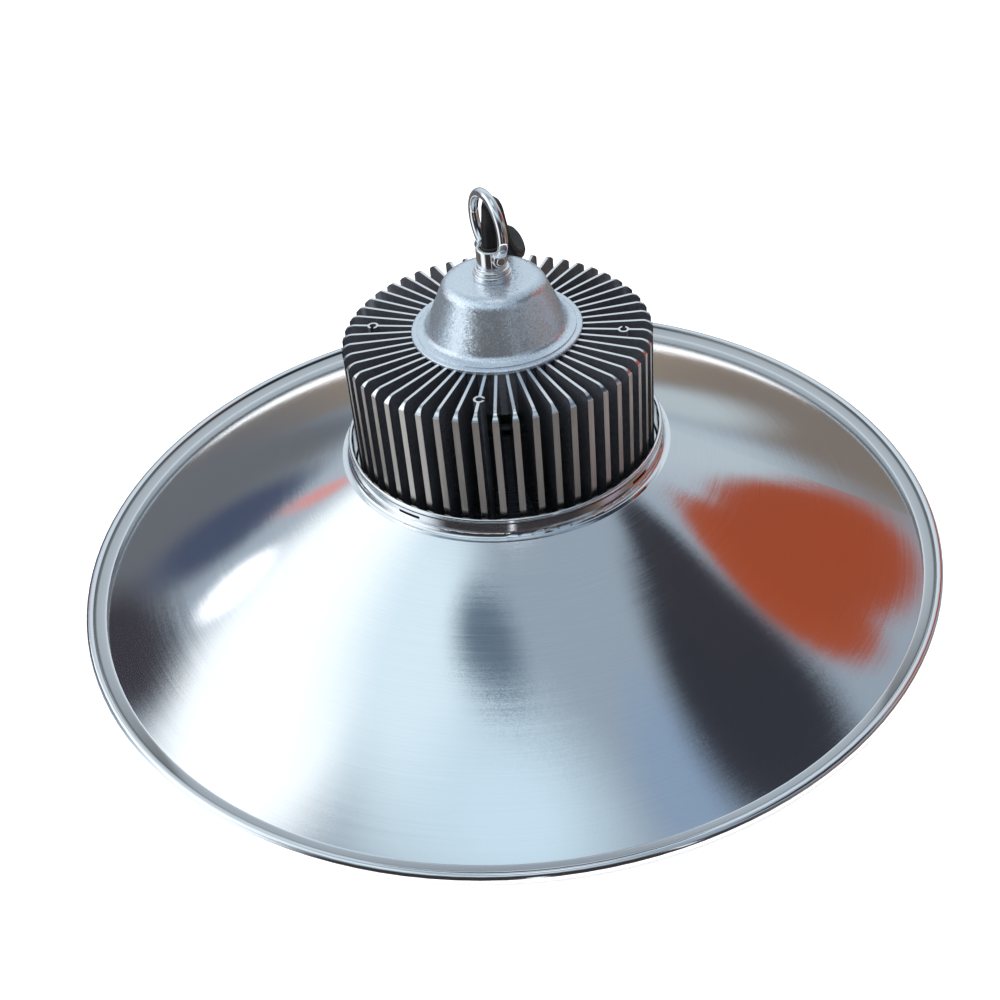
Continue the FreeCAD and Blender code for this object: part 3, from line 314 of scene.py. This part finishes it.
def spun_aluminium(finish):
    """Bright reflector sheet: fine turning marks, a soft grain, bright specks, and painted shade that
    darkens the flange, darkest in a thin line where the bead meets it.
    """
    material, tree, shader = new_material("spun_aluminium")
    metal(shader, tuple(finish.reflector), finish.reflector_roughness)
    fine = noise(tree, 1.0, 3.0, 0.6, around(tree, 1900.0, 3.0))
    broad = noise(tree, 1.0, 2.0, 0.5, around(tree, 160.0, 1.2))
    grain = noise(tree, 2600.0, 1.0)
    cloud = noise(tree, 22.0, 3.0)
    blur = maths(tree, "MULTIPLY_ADD", fine, 0.06, finish.reflector_roughness - 0.03)
    tree.links.new(maths(tree, "MULTIPLY_ADD", cloud, 0.04, blur), shader.inputs["Roughness"])
    tint = steps(tree, fine, (0.3, (0.82, 0.84, 0.87, 1.0)), (0.75, tuple(finish.reflector)))
    # Painted shade: the colour is darkened across the flange, and most of all in a thin line in the crease
    # where the bead meets the flange.
    flange = add(tree, "MapRange", {"Value": axis_distance(tree), "From Min": CREASE_RADIUS - 1 * MM,
                                    "From Max": CREASE_RADIUS + FLANGE_WIDTH}).outputs["Result"]
    painted_flange_shade = steps(tree, flange, (0.16, 1.0), (0.24, 0.7), (0.66, 0.6), (0.76, 0.2), (0.8, 0.2), (0.86, 1.0))
    tint = add(tree, "VectorMath", {0: tint, 1: painted_flange_shade}, operation="MULTIPLY").outputs[0]
    tree.links.new(tint, shader.inputs["Base Color"])
    marks = bump(tree, shader, fine, 0.01 * MM, 0.5)
    waves = bump(tree, shader, broad, 0.06 * MM, 0.5, marks)
    rough = bump(tree, shader, grain, 0.008 * MM, 0.6, waves)
    patches = steps(tree, cloud, (0.42, 0.2), (0.62, 1.0))
    glints(tree, shader, 2200.0, 0.016, patches, rough)
    return material


def pressed_aluminium(finish):
    """Bright sheet of the mounting ring, with painted shade, nearly black, where its tongues end inside the
    reflector's slots.
    """
    material, tree, shader = new_material("pressed_aluminium")
    metal(shader, tuple(finish.reflector), 0.1)
    marks = noise(tree, 1.0, 3.0, 0.6, around(tree, 1500.0, 4.0))
    tree.links.new(maths(tree, "MULTIPLY_ADD", marks, 0.1, 0.05), shader.inputs["Roughness"])
    # Painted shade: below the lip, the tongues' ends inside the reflector's slots are coloured nearly black.
    outside = maths(tree, "GREATER_THAN", axis_distance(tree), TONGUE_RADIUS)
    below = maths(tree, "LESS_THAN", split(tree, place(tree))["Z"], RING_TOP - RING_LIP)
    shaded = maths(tree, "MULTIPLY", outside, below)
    tint = mix(tree, shaded, tuple(finish.reflector), (0.01, 0.01, 0.01, 1.0))
    tree.links.new(tint, shader.inputs["Base Color"])
    bump(tree, shader, marks, 0.012 * MM, 0.5)
    return material


def black_anodised(finish):
    """Black fins whose turned ends and tips are bare metal."""
    material, tree, shader = new_material("black_anodised")
    normal = add(tree, "NewGeometry").outputs["Normal"]
    upward = split(tree, normal)["Z"]
    turned_top = maths(tree, "GREATER_THAN", upward, FACING)
    height = split(tree, place(tree))["Z"]
    at_top = maths(tree, "GREATER_THAN", height, HEATSINK_TOP - TURNED_DEPTH)
    top = maths(tree, "MULTIPLY", turned_top, at_top)
    foot = maths(tree, "LESS_THAN", upward, -FACING)
    tip = maths(tree, "GREATER_THAN", axis_distance(tree), FIN_RADIUS - TIP_DEPTH)
    turned = maths(tree, "MAXIMUM", top, foot)
    bare = maths(tree, "MAXIMUM", turned, tip)
    worn = noise(tree, 420.0, 4.0, 0.6)
    drawing = (2600.0, 2600.0, 30.0)
    along = add(tree, "VectorMath", {0: place(tree), 1: drawing}, operation="MULTIPLY").outputs[0]
    lines = noise(tree, 1.0, 2.0, 0.6, along)
    dark = steps(tree, worn, (0.3, tuple(finish.anodised)), (0.8, (0.13, 0.142, 0.17, 1.0)))
    drawn = steps(tree, lines, (0.25, (0.4, 0.37, 0.34, 1.0)), (0.75, (0.54, 0.5, 0.47, 1.0)))
    light = mix(tree, turned, drawn, tuple(finish.machined))
    tree.links.new(mix(tree, bare, dark, light), shader.inputs["Base Color"])
    tree.links.new(maths(tree, "MULTIPLY_ADD", bare, 0.55, 0.45), shader.inputs["Metallic"])
    gloss = maths(tree, "MULTIPLY_ADD", tip, 0.13, maths(tree, "MULTIPLY_ADD", worn, 0.1, 0.16))
    tree.links.new(gloss, shader.inputs["Roughness"])
    bump(tree, shader, lines, 0.02 * MM, 0.5)
    return material


def sand_paint(finish):
    """Silver paint with a fine sand texture and a sparkle."""
    material, tree, shader = new_material("sand_paint")
    metal(shader, tuple(finish.cover), 0.36)
    shader.inputs["Metallic"].default_value = 0.9
    grains = noise(tree, 1500.0, 3.0, 0.65)
    lumps = noise(tree, 520.0, 2.0, 0.5)
    flake = noise(tree, 3200.0, 0.0)
    tint = steps(tree, flake, (0.3, (0.62, 0.69, 0.77, 1.0)), (0.72, tuple(finish.cover)),
                 (0.8, (0.93, 0.98, 1.0, 1.0)))
    tree.links.new(tint, shader.inputs["Base Color"])
    tree.links.new(maths(tree, "MULTIPLY_ADD", grains, 0.2, 0.19), shader.inputs["Roughness"])
    sand = bump(tree, shader, grains, 0.08 * MM, 0.6)
    rough = bump(tree, shader, lumps, 0.12 * MM, 0.5, sand)
    glints(tree, shader, 1500.0, 0.235, steps(tree, lumps, (0.35, 0.4), (0.65, 1.0)), rough)
    return material


def chrome_plate(finish):
    """Polished chrome with a slight ripple from the castings under it."""
    material, tree, shader = new_material("chrome_plate")
    metal(shader, tuple(finish.chrome), 0.06)
    ripple = noise(tree, 190.0, 2.0)
    pits = noise(tree, 2300.0, 2.0, 0.6)
    tree.links.new(maths(tree, "MULTIPLY_ADD", pits, 0.08, 0.02), shader.inputs["Roughness"])
    soft = bump(tree, shader, ripple, 0.12 * MM, 0.6)
    bump(tree, shader, pits, 0.006 * MM, 0.5, soft)
    return material


def zinc_plate(finish):
    """Bright zinc on small steel parts."""
    material, tree, shader = new_material("zinc_plate")
    spots = noise(tree, 900.0, 3.0, 0.6)
    metal(shader, tuple(finish.zinc), 0.3)
    tint = steps(tree, spots, (0.3, (0.5, 0.5, 0.47, 1.0)), (0.7, tuple(finish.zinc)))
    tree.links.new(tint, shader.inputs["Base Color"])
    tree.links.new(maths(tree, "MULTIPLY_ADD", spots, 0.2, 0.2), shader.inputs["Roughness"])
    bump(tree, shader, spots, 0.02 * MM, 0.5)
    return material


def sheet_steel():
    """Galvanised sheet with its spangle."""
    material, tree, shader = new_material("galvanised_steel")
    cells = add(tree, "TexVoronoi", {"Vector": place(tree), "Scale": 260.0}).outputs["Color"]
    level = split(tree, cells)["X"]
    metal(shader, (0.55, 0.56, 0.58, 1.0), 0.4)
    tree.links.new(steps(tree, level, (0.0, 0.42), (1.0, 0.62)), shader.inputs["Base Color"])
    tree.links.new(maths(tree, "MULTIPLY_ADD", level, 0.15, 0.32), shader.inputs["Roughness"])
    return material


def milled_aluminium():
    """Turned face of the base plate."""
    material, tree, shader = new_material("milled_aluminium")
    metal(shader, (0.7, 0.71, 0.72, 1.0), 0.3)
    marks = noise(tree, 1.0, 2.0, 0.5, around(tree, 900.0, 2.0))
    tree.links.new(maths(tree, "MULTIPLY_ADD", marks, 0.2, 0.2), shader.inputs["Roughness"])
    bump(tree, shader, marks, 0.02 * MM, 0.6)
    return material


def moulded(name, shade, roughness, grain_scale=1200.0, depth=0.02 * MM, metallic=0.0, shine=0.5):
    """Plastic, rubber or enamel with a fine grain and uneven gloss."""
    material, tree, shader = new_material(name)
    grain = noise(tree, grain_scale, 3.0, 0.6)
    cloud = noise(tree, 60.0, 2.0)
    darker = tuple(0.82 * part for part in shade[:3]) + (1.0,)
    tree.links.new(steps(tree, cloud, (0.3, darker), (0.7, (*shade[:3], 1.0))), shader.inputs["Base Color"])
    tree.links.new(maths(tree, "MULTIPLY_ADD", grain, 0.12, roughness - 0.06), shader.inputs["Roughness"])
    shader.inputs["Metallic"].default_value = metallic
    shader.inputs["Specular IOR Level"].default_value = shine
    bump(tree, shader, grain, depth, 0.6)
    return material


def striped_core():
    """Earth core: green with a yellow stripe that winds round it."""
    material, tree, shader = new_material("earth_core")
    part = split(tree, place(tree))
    wave = maths(tree, "SINE", maths(tree, "MULTIPLY", maths(tree, "ADD", part["X"], part["Z"]), 1400.0))
    stripe = steps(tree, wave, (0.45, (0.02, 0.2, 0.03, 1.0)), (0.55, (0.75, 0.62, 0.02, 1.0)))
    tree.links.new(stripe, shader.inputs["Base Color"])
    shader.inputs["Roughness"].default_value = 0.35
    return material


def clear_glass():
    """Toughened glass of the lens."""
    material, tree, shader = new_material("clear_glass")
    shader.inputs["Base Color"].default_value = (0.93, 0.97, 0.95, 1.0)
    shader.inputs["Transmission Weight"].default_value = 1.0
    shader.inputs["IOR"].default_value = 1.5
    smear = noise(tree, 40.0, 3.0)
    tree.links.new(maths(tree, "MULTIPLY", smear, 0.05), shader.inputs["Roughness"])
    return material


def solder_mask(name, shade):
    """Lacquered circuit board with copper runs showing faintly under the lacquer."""
    material, tree, shader = new_material(name)
    part = split(tree, place(tree))
    runs = add(tree, "TexBrick", {"Vector": place(tree), "Scale": 160.0, "Mortar Size": 0.03})
    darker = tuple(0.7 * value for value in shade[:3]) + (1.0,)
    tree.links.new(mix(tree, runs.outputs["Fac"], tuple(shade), darker), shader.inputs["Base Color"])
    weave = maths(tree, "SINE", maths(tree, "MULTIPLY", part["Z"], 9000.0))
    shader.inputs["Roughness"].default_value = 0.3
    shader.inputs["Coat Weight"].default_value = 0.5
    bump(tree, shader, weave, 0.004 * MM, 0.4)
    return material


# -------------------------------------------------------------------------------- shapes
def mesh_piece(name, shape, material):
    """A new object at the origin from a bmesh."""
    mesh = bpy.data.meshes.new(name)
    bmesh.ops.recalc_face_normals(shape, faces=shape.faces)
    shape.to_mesh(mesh)
    shape.free()
    piece = bpy.data.objects.new(name, mesh)
    bpy.context.scene.collection.objects.link(piece)
    mesh.materials.append(material)
    return piece


def round_curve(name, points, radius, material):
    """A round tube on one smooth open spline."""
    curve = bpy.data.curves.new(name, "CURVE")
    curve.dimensions = "3D"
    curve.bevel_depth = radius
    curve.bevel_resolution = 5
    curve.use_fill_caps = True
    curve.resolution_u = 12
    spline = curve.splines.new("NURBS")
    spline.points.add(len(points) - 1)
    for point, spot in zip(spline.points, points):
        point.co = (*spot, 1.0)
    spline.order_u = 3
    spline.use_endpoint_u = True
    piece = bpy.data.objects.new(name, curve)
    bpy.context.scene.collection.objects.link(piece)
    curve.materials.append(material)
    return piece


def phosphor_windows(material):
    """A low dome of phosphor on the open face of every light source."""
    shape = bmesh.new()
    for count, radius in CHIP_RINGS:
        for number in range(count):
            turn = math.radians(CHIP_START + (180.0 + 360.0 * number) / count)
            middle = Vector((radius * math.cos(turn), radius * math.sin(turn), CHIP_FACE))
            dome = bmesh.ops.create_uvsphere(shape, u_segments=16, v_segments=8, radius=DOME_RADIUS)["verts"]
            bmesh.ops.scale(shape, vec=(1.0, 1.0, DOME_FLATNESS), verts=dome)
            bmesh.ops.translate(shape, vec=middle, verts=dome)
    return mesh_piece("phosphor_windows", shape, material)


def strand(shape, start, direction, cable):
    """One fine wire, a tenth of it inside the core."""
    wire = bmesh.ops.create_cone(shape, cap_ends=True, segments=8, radius1=STRAND_RADIUS,
                                 radius2=STRAND_RADIUS, depth=cable.bare_length)["verts"]
    turn = direction.to_track_quat("Z", "Y").to_matrix()
    bmesh.ops.rotate(shape, verts=wire, cent=(0.0, 0.0, 0.0), matrix=turn)
    bmesh.ops.translate(shape, verts=wire, vec=start + direction * (0.4 * cable.bare_length))


def copper_strands(points, cable, material):
    """Fine wires that splay a little where each core ends."""
    along = (points[-1] - points[-2]).normalized()
    across = along.cross(Vector((0.0, 0.0, 1.0))).normalized()
    over = across.cross(along)
    shape = bmesh.new()
    for degrees, lift in CORE_LAY:
        turn = math.radians(degrees)
        sideways = math.cos(turn) * CORE_OFFSET
        start = points[-1] + across * sideways + over * (math.sin(turn) * CORE_OFFSET)
        bend = start + along * CORE_BEND
        tip = start + along * CORE_LENGTH + across * (CORE_SPREAD * sideways) + over * lift
        run = (tip - bend).normalized()
        side = run.cross(over).normalized()
        strand(shape, tip, run, cable)
        for number in range(1, cable.strands):
            turn = math.tau * number / (cable.strands - 1)
            out = side * math.cos(turn) + side.cross(run) * math.sin(turn)
            spot = tip + out * (STRAND_CIRCLE * cable.core_radius)
            strand(shape, spot, (run + out * STRAND_SPLAY).normalized(), cable)
    return mesh_piece("copper_strands", shape, material)


class LampOperator:
    """What the lamp's operators share."""

    bl_options = {"REGISTER", "UNDO"}

    @property
    def finish(self):
        return bpy.context.scene.lamp_finish

    @property
    def cable(self):
        return bpy.context.scene.lamp_cable

    @property
    def stage(self):
        return bpy.context.scene.lamp_stage


class LAMP_OT_reflector(LampOperator, bpy.types.Operator):
    """Finishes the spun reflector and the pressed ring that holds it"""

    bl_idname = "lamp.reflector"
    bl_label = "Reflector"

    def execute(self, context):
        dress(spun_aluminium(self.finish), "reflector")
        dress(pressed_aluminium(self.finish), "mounting_ring")
        return {"FINISHED"}


class LAMP_OT_heatsink(LampOperator, bpy.types.Operator):
    """Finishes the finned heatsink, its base plate and the lens ring"""

    bl_idname = "lamp.heatsink"
    bl_label = "Heatsink"

    def execute(self, context):
        dress(black_anodised(self.finish), "heatsink")
        dress(milled_aluminium(), "base_plate")
        dress(moulded("anodised_ring", (0.02, 0.02, 0.022), 0.32, metallic=0.4), "lens_ring")
        return {"FINISHED"}


class LAMP_OT_cover(LampOperator, bpy.types.Operator):
    """Finishes the cast cover and its gasket"""

    bl_idname = "lamp.cover"
    bl_label = "Cover"

    def execute(self, context):
        dress(sand_paint(self.finish), "top_cover")
        dress(moulded("grey_silicone", (0.32, 0.32, 0.33), 0.6), "cover_gasket", "lens_gasket")
        return {"FINISHED"}


class LAMP_OT_hook(LampOperator, bpy.types.Operator):
    """Finishes the hook, its threaded sleeve and the fasteners"""

    bl_idname = "lamp.hook"
    bl_label = "Hook and fasteners"

    def execute(self, context):
        dress(chrome_plate(self.finish), "hook_bail", "hook_sleeve", "hook_washer", "pivot_pins")
        dress(zinc_plate(self.finish), "stem_nut", "stem_spring_washer", "cover_tie_screws", "clamp_screws",
              "led_board_screws", "frame_screws", "driver_board_screws", "cord_clamp_screw")
        return {"FINISHED"}


class LAMP_OT_light_source(LampOperator, bpy.types.Operator):
    """Finishes the lens and the light board, and adds the phosphor windows"""

    bl_idname = "lamp.light_source"
    bl_label = "Light source"

    def execute(self, context):
        dress(clear_glass(), "lens")
        dress(moulded("white_mask", (0.82, 0.82, 0.8), 0.35), "led_board")
        dress(moulded("thermal_pad", (0.6, 0.62, 0.66), 0.7), "thermal_pad")
        dress(moulded("chip_body", (0.8, 0.8, 0.76), 0.3), "led_chips")
        windows = phosphor_windows(moulded("phosphor", tuple(self.finish.phosphor), 0.3, 2600.0, 0.01 * MM))
        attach(windows, "lamp")
        dress(moulded("red_lead", (0.5, 0.02, 0.02), 0.35), "led_leads")
        return {"FINISHED"}


class LAMP_OT_driver(LampOperator, bpy.types.Operator):
    """Finishes the driver inside the heatsink's core"""

    bl_idname = "lamp.driver"
    bl_label = "Driver"

    def execute(self, context):
        dress(sheet_steel(), "driver_frame")
        dress(solder_mask("green_mask", tuple(self.finish.board)), "driver_board")
        dress(moulded("yellow_tape", (0.75, 0.55, 0.04), 0.45), "driver_transformer")
        dress(moulded("capacitor_sleeve", (0.015, 0.015, 0.03), 0.25), "driver_capacitors")
        dress(moulded("copper_winding", (0.42, 0.13, 0.04), 0.25, metallic=0.6), "driver_choke")
        dress(moulded("white_nylon", (0.75, 0.74, 0.7), 0.45), "terminal_block")
        dress(moulded("black_nylon", (0.02, 0.02, 0.02), 0.45), "cord_clamp", "cord_grommet", "cord_tail")
        dress(moulded("brown_core", (0.16, 0.06, 0.025), 0.35), "mains_lead_brown")
        dress(moulded("blue_core", (0.02, 0.1, 0.45), 0.35), "mains_lead_blue")
        dress(striped_core(), "mains_lead_earth")
        return {"FINISHED"}


class LAMP_OT_cable(LampOperator, bpy.types.Operator):
    """Makes the supply cable, which comes up out of the hook and lies down behind the lamp"""

    bl_idname = "lamp.cable"
    bl_label = "Cable"

    def execute(self, context):
        points = [Vector(point) * MM for point in CABLE_ROUTE]
        sheath = moulded("cable_sheath", tuple(self.cable.sheath), 0.45, 700.0, 0.03 * MM, shine=0.25)
        cable = round_curve("supply_cable", points, self.cable.radius, sheath)
        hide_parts("supply_cord")
        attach(cable, "lamp")
        dress(bpy.data.materials["brown_core"], "cord_core_brown")
        dress(bpy.data.materials["blue_core"], "cord_core_blue")
        dress(bpy.data.materials["earth_core"], "cord_core_earth")
        copper = moulded("bare_copper", tuple(self.cable.copper), 0.25, metallic=1.0)
        strands = copper_strands(points, self.cable, copper)
        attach(strands, "lamp")
        return {"FINISHED"}


# --------------------------------------------------------------------------------- stage
# Soft patches on the tent's inside: azimuth and elevation of the middle, half width and half height,
# turn, all in degrees; softness of the edge; colour.
TENT_PATCHES = (
    # The dark room in front and behind.
    (270, 16, 60, 26, 0, 0.3, (0.045, 0.038, 0.04)),
    (92, 15, 17, 10, 0, 0.4, (0.06, 0.05, 0.045)),
    # Low patches, for the neck and the rim.
    (207, 4, 19, 26, 0, 0.4, (1.1, 1.18, 1.24)),
    (345, 2, 26, 15, 0, 0.5, (0.24, 0.15, 0.11)),
    (340, -8, 10, 4, 0, 0.5, (0.42, 0.34, 0.42)),
    (48, -2, 22, 9, 0, 0.5, (0.22, 0.185, 0.16)),
    (142, 2, 26, 13, 0, 0.4, (0.15, 0.16, 0.18)),
    # Bright windows and lamps, on the left and above.
    (90, 42, 42, 24, 0, 0.5, (0.71, 0.79, 0.85)),
    (178, 42, 26, 20, 0, 0.25, (1.2, 1.26, 1.28)),
    (214, 60, 20, 13, 0, 0.6, (0.8, 0.96, 1.04)),
    (160, 22.5, 4.5, 3.5, 0, 0.3, (1.6, 1.65, 1.7)),
    (192, 33, 8, 6, 0, 0.3, (2.0, 2.0, 2.0)),
    (264, 56, 17, 8, 0, 0.7, (0.68, 0.86, 0.97)),
    # Dark furniture, in front and to the right.
    (247, 69, 9, 4, 0, 0.5, (0.12, 0.17, 0.23)),
    (318, 50, 8, 9, 0, 0.6, (0.28, 0.38, 0.52)),
    (347, 44, 16, 14, 0, 0.25, (0.036, 0.038, 0.05)),
    (3, 49, 10, 7, 0, 0.3, (0.04, 0.04, 0.05)),
    # Pale walls on the right.
    (46, 21, 8, 11, 0, 0.5, (0.52, 0.6, 0.65)),
    (62, 5, 9, 7, 0, 0.5, (0.5, 0.57, 0.6)),
    # A warm cloth on the right.
    (16, 31, 11, 10, 0, 0.14, (0.4, 0.08, 0.032)),
    (26, 21, 17, 9.5, -48, 0.16, (0.38, 0.076, 0.032)),
    # Dark and rosy things on the left.
    (165, 12, 14, 5.5, 40, 0.4, (0.05, 0.046, 0.058)),
    (146, 12, 9, 6, 0, 0.4, (0.07, 0.09, 0.15)),
    (146, 23.5, 2, 4.5, 0, 0.5, (0.8, 0.35, 0.33)),
    # Narrow strips and a top light, for the hook.
    (272, 0, 1.6, 12, 0, 0.4, (1.2, 1.2, 1.25)),
    (300, 22, 2, 12, 0, 0.4, (0.9, 0.95, 1.0)),
    (0, 90, 9, 9, 0, 0.4, (1.05, 1.1, 1.15)),
)


def patch(tree, direction, azimuth, elevation, wide, high, turn, soft):
    """1 inside a soft oval on the tent and 0 outside it."""
    turned = (math.radians(turn), -math.radians(elevation), math.radians(azimuth))
    size = (1.0, math.sin(math.radians(wide)), math.sin(math.radians(high)))
    local = add(tree, "Mapping", {"Vector": direction, "Rotation": turned, "Scale": size},
                vector_type="TEXTURE").outputs[0]
    flat = add(tree, "VectorMath", {0: local, 1: (0.0, 1.0, 1.0)}, operation="MULTIPLY").outputs[0]
    reach = add(tree, "VectorMath", {0: flat}, operation="LENGTH").outputs["Value"]
    edge = add(tree, "MapRange", {"Value": reach, "From Min": 1.0 + soft, "From Max": 1.0 - soft},
               interpolation_type="SMOOTHSTEP").outputs["Result"]
    ahead = maths(tree, "GREATER_THAN", split(tree, local)["X"], 0.0)
    return maths(tree, "MULTIPLY", edge, ahead)


def tent_cloth():
    """Glowing cloth with the patches, over a grey that turns brown towards the floor."""
    material = bpy.data.materials.new("tent_cloth")
    material.use_nodes = True
    material.cycles.emission_sampling = "NONE"
    tree = material.node_tree
    tree.nodes.clear()
    from_middle = add(tree, "VectorMath", {0: place(tree), 1: (0.0, 0.0, TENT_MIDDLE)}, operation="SUBTRACT")
    direction = add(tree, "VectorMath", {0: from_middle.outputs[0]}, operation="NORMALIZE").outputs[0]
    part = split(tree, direction)
    back = maths(tree, "MULTIPLY_ADD", part["Y"], 0.5, 0.5)
    low = steps(tree, back, (0.05, (0.035, 0.028, 0.027, 1.0)), (0.8, (0.18, 0.15, 0.13, 1.0)),
                (0.97, (0.3, 0.25, 0.2, 1.0)))
    under = add(tree, "MapRange", {"Value": part["Z"], "From Min": -0.02, "From Max": -0.09},
                interpolation_type="SMOOTHSTEP").outputs["Result"]
    shade = mix(tree, under, (0.34, 0.41, 0.48, 1.0), low)
    for *spot, glow in TENT_PATCHES:
        shade = mix(tree, patch(tree, direction, *spot), shade, (*glow, 1.0))
    light = add(tree, "Emission", {"Color": shade, "Strength": 1.0})
    tree.links.new(light.outputs[0], add(tree, "OutputMaterial").inputs["Surface"])
    return material


def light_tent():
    """Tent round the lamp that only metal and glass mirror, cut off at the floor, with a skirt inwards."""
    shape = bmesh.new()
    bmesh.ops.create_uvsphere(shape, u_segments=96, v_segments=48, radius=TENT_RADIUS)
    bmesh.ops.translate(shape, vec=(0.0, 0.0, TENT_MIDDLE), verts=shape.verts)
    everything = shape.verts[:] + shape.edges[:] + shape.faces[:]
    bmesh.ops.bisect_plane(shape, geom=everything, plane_co=(0.0, 0.0, TENT_FOOT), plane_no=(0.0, 0.0, 1.0),
                           clear_inner=True)
    foot = [edge for edge in shape.edges if edge.is_boundary]
    skirt = bmesh.ops.extrude_edge_only(shape, edges=foot)["geom"]
    inner = [item for item in skirt if isinstance(item, bmesh.types.BMVert)]
    shrink = TENT_OPENING / TENT_RADIUS
    bmesh.ops.scale(shape, vec=(shrink, shrink, 1.0), verts=inner)
    piece = mesh_piece("light_tent", shape, tent_cloth())
    piece.visible_camera = False
    piece.visible_diffuse = False
    piece.visible_shadow = False


def shown(tree):
    """1 for rays from the camera and from metal and glass, and 0 for light on the object."""
    path = add(tree, "LightPath").outputs
    mirrored = maths(tree, "MAXIMUM", path["Is Glossy Ray"], path["Is Transmission Ray"])
    return maths(tree, "MAXIMUM", path["Is Camera Ray"], mirrored)


def pale_floor(stage):
    """Pale floor that keeps the lamp's shadow and is lightened for the camera and for reflections."""
    material, tree, shader = new_material("pale_floor")
    shader.inputs["Base Color"].default_value = tuple(stage.floor)
    shader.inputs["Roughness"].default_value = 0.9
    shader.inputs["Specular IOR Level"].default_value = 0.1
    shader.inputs["Emission Color"].default_value = (1.0, 1.0, 1.0, 1.0)
    lift = add(tree, "MapRange", {"Value": axis_distance(tree), "From Min": NEAR_FLOOR,
                                  "From Max": FAR_FLOOR, "To Min": stage.floor_lift,
                                  "To Max": stage.far_lift},
               interpolation_type="SMOOTHSTEP").outputs["Result"]
    tree.links.new(maths(tree, "MULTIPLY", shown(tree), lift), shader.inputs["Emission Strength"])
    shape = bmesh.new()
    bmesh.ops.create_circle(shape, cap_ends=True, segments=64, radius=FLOOR_RADIUS)
    bmesh.ops.translate(shape, vec=(0.0, 0.0, -FLOOR_DROP), verts=shape.verts)
    mesh_piece("floor", shape, material)


def studio_world():
    """Soft light from all round, white where the camera sees it."""
    world = bpy.data.worlds.new("studio")
    bpy.context.scene.world = world
    world.use_nodes = True
    tree = world.node_tree
    background = tree.nodes["Background"]
    shade = mix(tree, shown(tree), (0.45, 0.45, 0.46, 1.0), (1.0, 1.0, 1.0, 1.0))
    tree.links.new(shade, background.inputs["Color"])
    background.inputs["Strength"].default_value = 1.0


def area_lamp(name, azimuth, elevation, distance, size, power):
    """A soft lamp that faces the object, from a direction in degrees."""
    data = bpy.data.lights.new(name, "AREA")
    data.shape = "RECTANGLE"
    data.size, data.size_y = size
    data.energy = power
    lamp = bpy.data.objects.new(name, data)
    lamp.visible_glossy = False
    bpy.context.scene.collection.objects.link(lamp)
    turn, tilt = math.radians(azimuth), math.radians(elevation)
    away = Vector((math.cos(turn) * math.cos(tilt), math.sin(turn) * math.cos(tilt), math.sin(tilt)))
    spot = Matrix.Translation(Vector((0.0, 0.0, LAMP_AIM)) + away * distance)
    lamp.matrix_world = spot @ away.to_track_quat("Z", "Y").to_matrix().to_4x4()


def studio_camera(stage):
    """Camera that looks down on the lamp from the front, turned a little about its own axis."""
    data = bpy.data.cameras.new("camera")
    data.sensor_width = 36.0
    data.lens = stage.lens
    data.shift_x = CAMERA_SHIFT
    level = Vector((1.0, 0.0, 0.0))
    upright = Vector((0.0, math.sin(stage.elevation), math.cos(stage.elevation)))
    ahead = Vector((0.0, math.cos(stage.elevation), -math.sin(stage.elevation)))
    right = math.cos(stage.roll) * level - math.sin(stage.roll) * upright
    up = math.sin(stage.roll) * level + math.cos(stage.roll) * upright
    spot = right * CAMERA_SIDE + up * CAMERA_RISE - ahead * stage.distance + Vector((0.0, 0.0, RIM_PLANE))
    turn = Matrix((right, up, -ahead)).transposed().to_4x4()
    camera = bpy.data.objects.new("camera", data)
    bpy.context.scene.collection.objects.link(camera)
    camera.matrix_world = Matrix.Translation(spot) @ turn
    bpy.context.scene.camera = camera


class LAMP_OT_stage(LampOperator, bpy.types.Operator):
    """Sets the floor, the tent, the lamps and the camera"""

    bl_idname = "lamp.stage"
    bl_label = "Stage"

    def execute(self, context):
        pale_floor(self.stage)
        light_tent()
        studio_world()
        area_lamp("top_softbox", -100, 78, 1.6, (1.2, 1.0), 22.0)
        area_lamp("left_softbox", 200, 40, 1.8, (0.9, 0.9), 14.0)
        studio_camera(self.stage)
        context.scene.view_settings.view_transform = "Standard"
        return {"FINISHED"}


OPERATORS = (LAMP_OT_reflector, LAMP_OT_heatsink, LAMP_OT_cover, LAMP_OT_hook, LAMP_OT_light_source,
             LAMP_OT_driver, LAMP_OT_cable, LAMP_OT_stage)


class LAMP_PT_panel(bpy.types.Panel):
    """Lists the lamp's operators"""

    bl_label = "High bay light"
    bl_idname = "LAMP_PT_panel"
    bl_space_type = "VIEW_3D"
    bl_region_type = "UI"
    bl_category = "Lamp"

    def draw(self, context):
        for operator in OPERATORS:
            self.layout.operator(operator.bl_idname)


SETTINGS = {"lamp_finish": FinishSettings, "lamp_cable": CableSettings, "lamp_stage": StageSettings}
CLASSES = (*SETTINGS.values(), *OPERATORS, LAMP_PT_panel)


def register():
    """Adds the classes and their settings to Blender."""
    for each in CLASSES:
        bpy.utils.register_class(each)
    for name, group in SETTINGS.items():
        setattr(bpy.types.Scene, name, bpy.props.PointerProperty(type=group))


def unregister():
    """Takes them out again."""
    for name in SETTINGS:
        delattr(bpy.types.Scene, name)
    for each in reversed(CLASSES):
        bpy.utils.unregister_class(each)


def main():
    """Runs every operator in order."""
    register()
    for operator in OPERATORS:
        group, call = operator.bl_idname.split(".")
        getattr(getattr(bpy.ops, group), call)()
    bpy.context.view_layer.update()


if __name__ == "__main__":
    main()
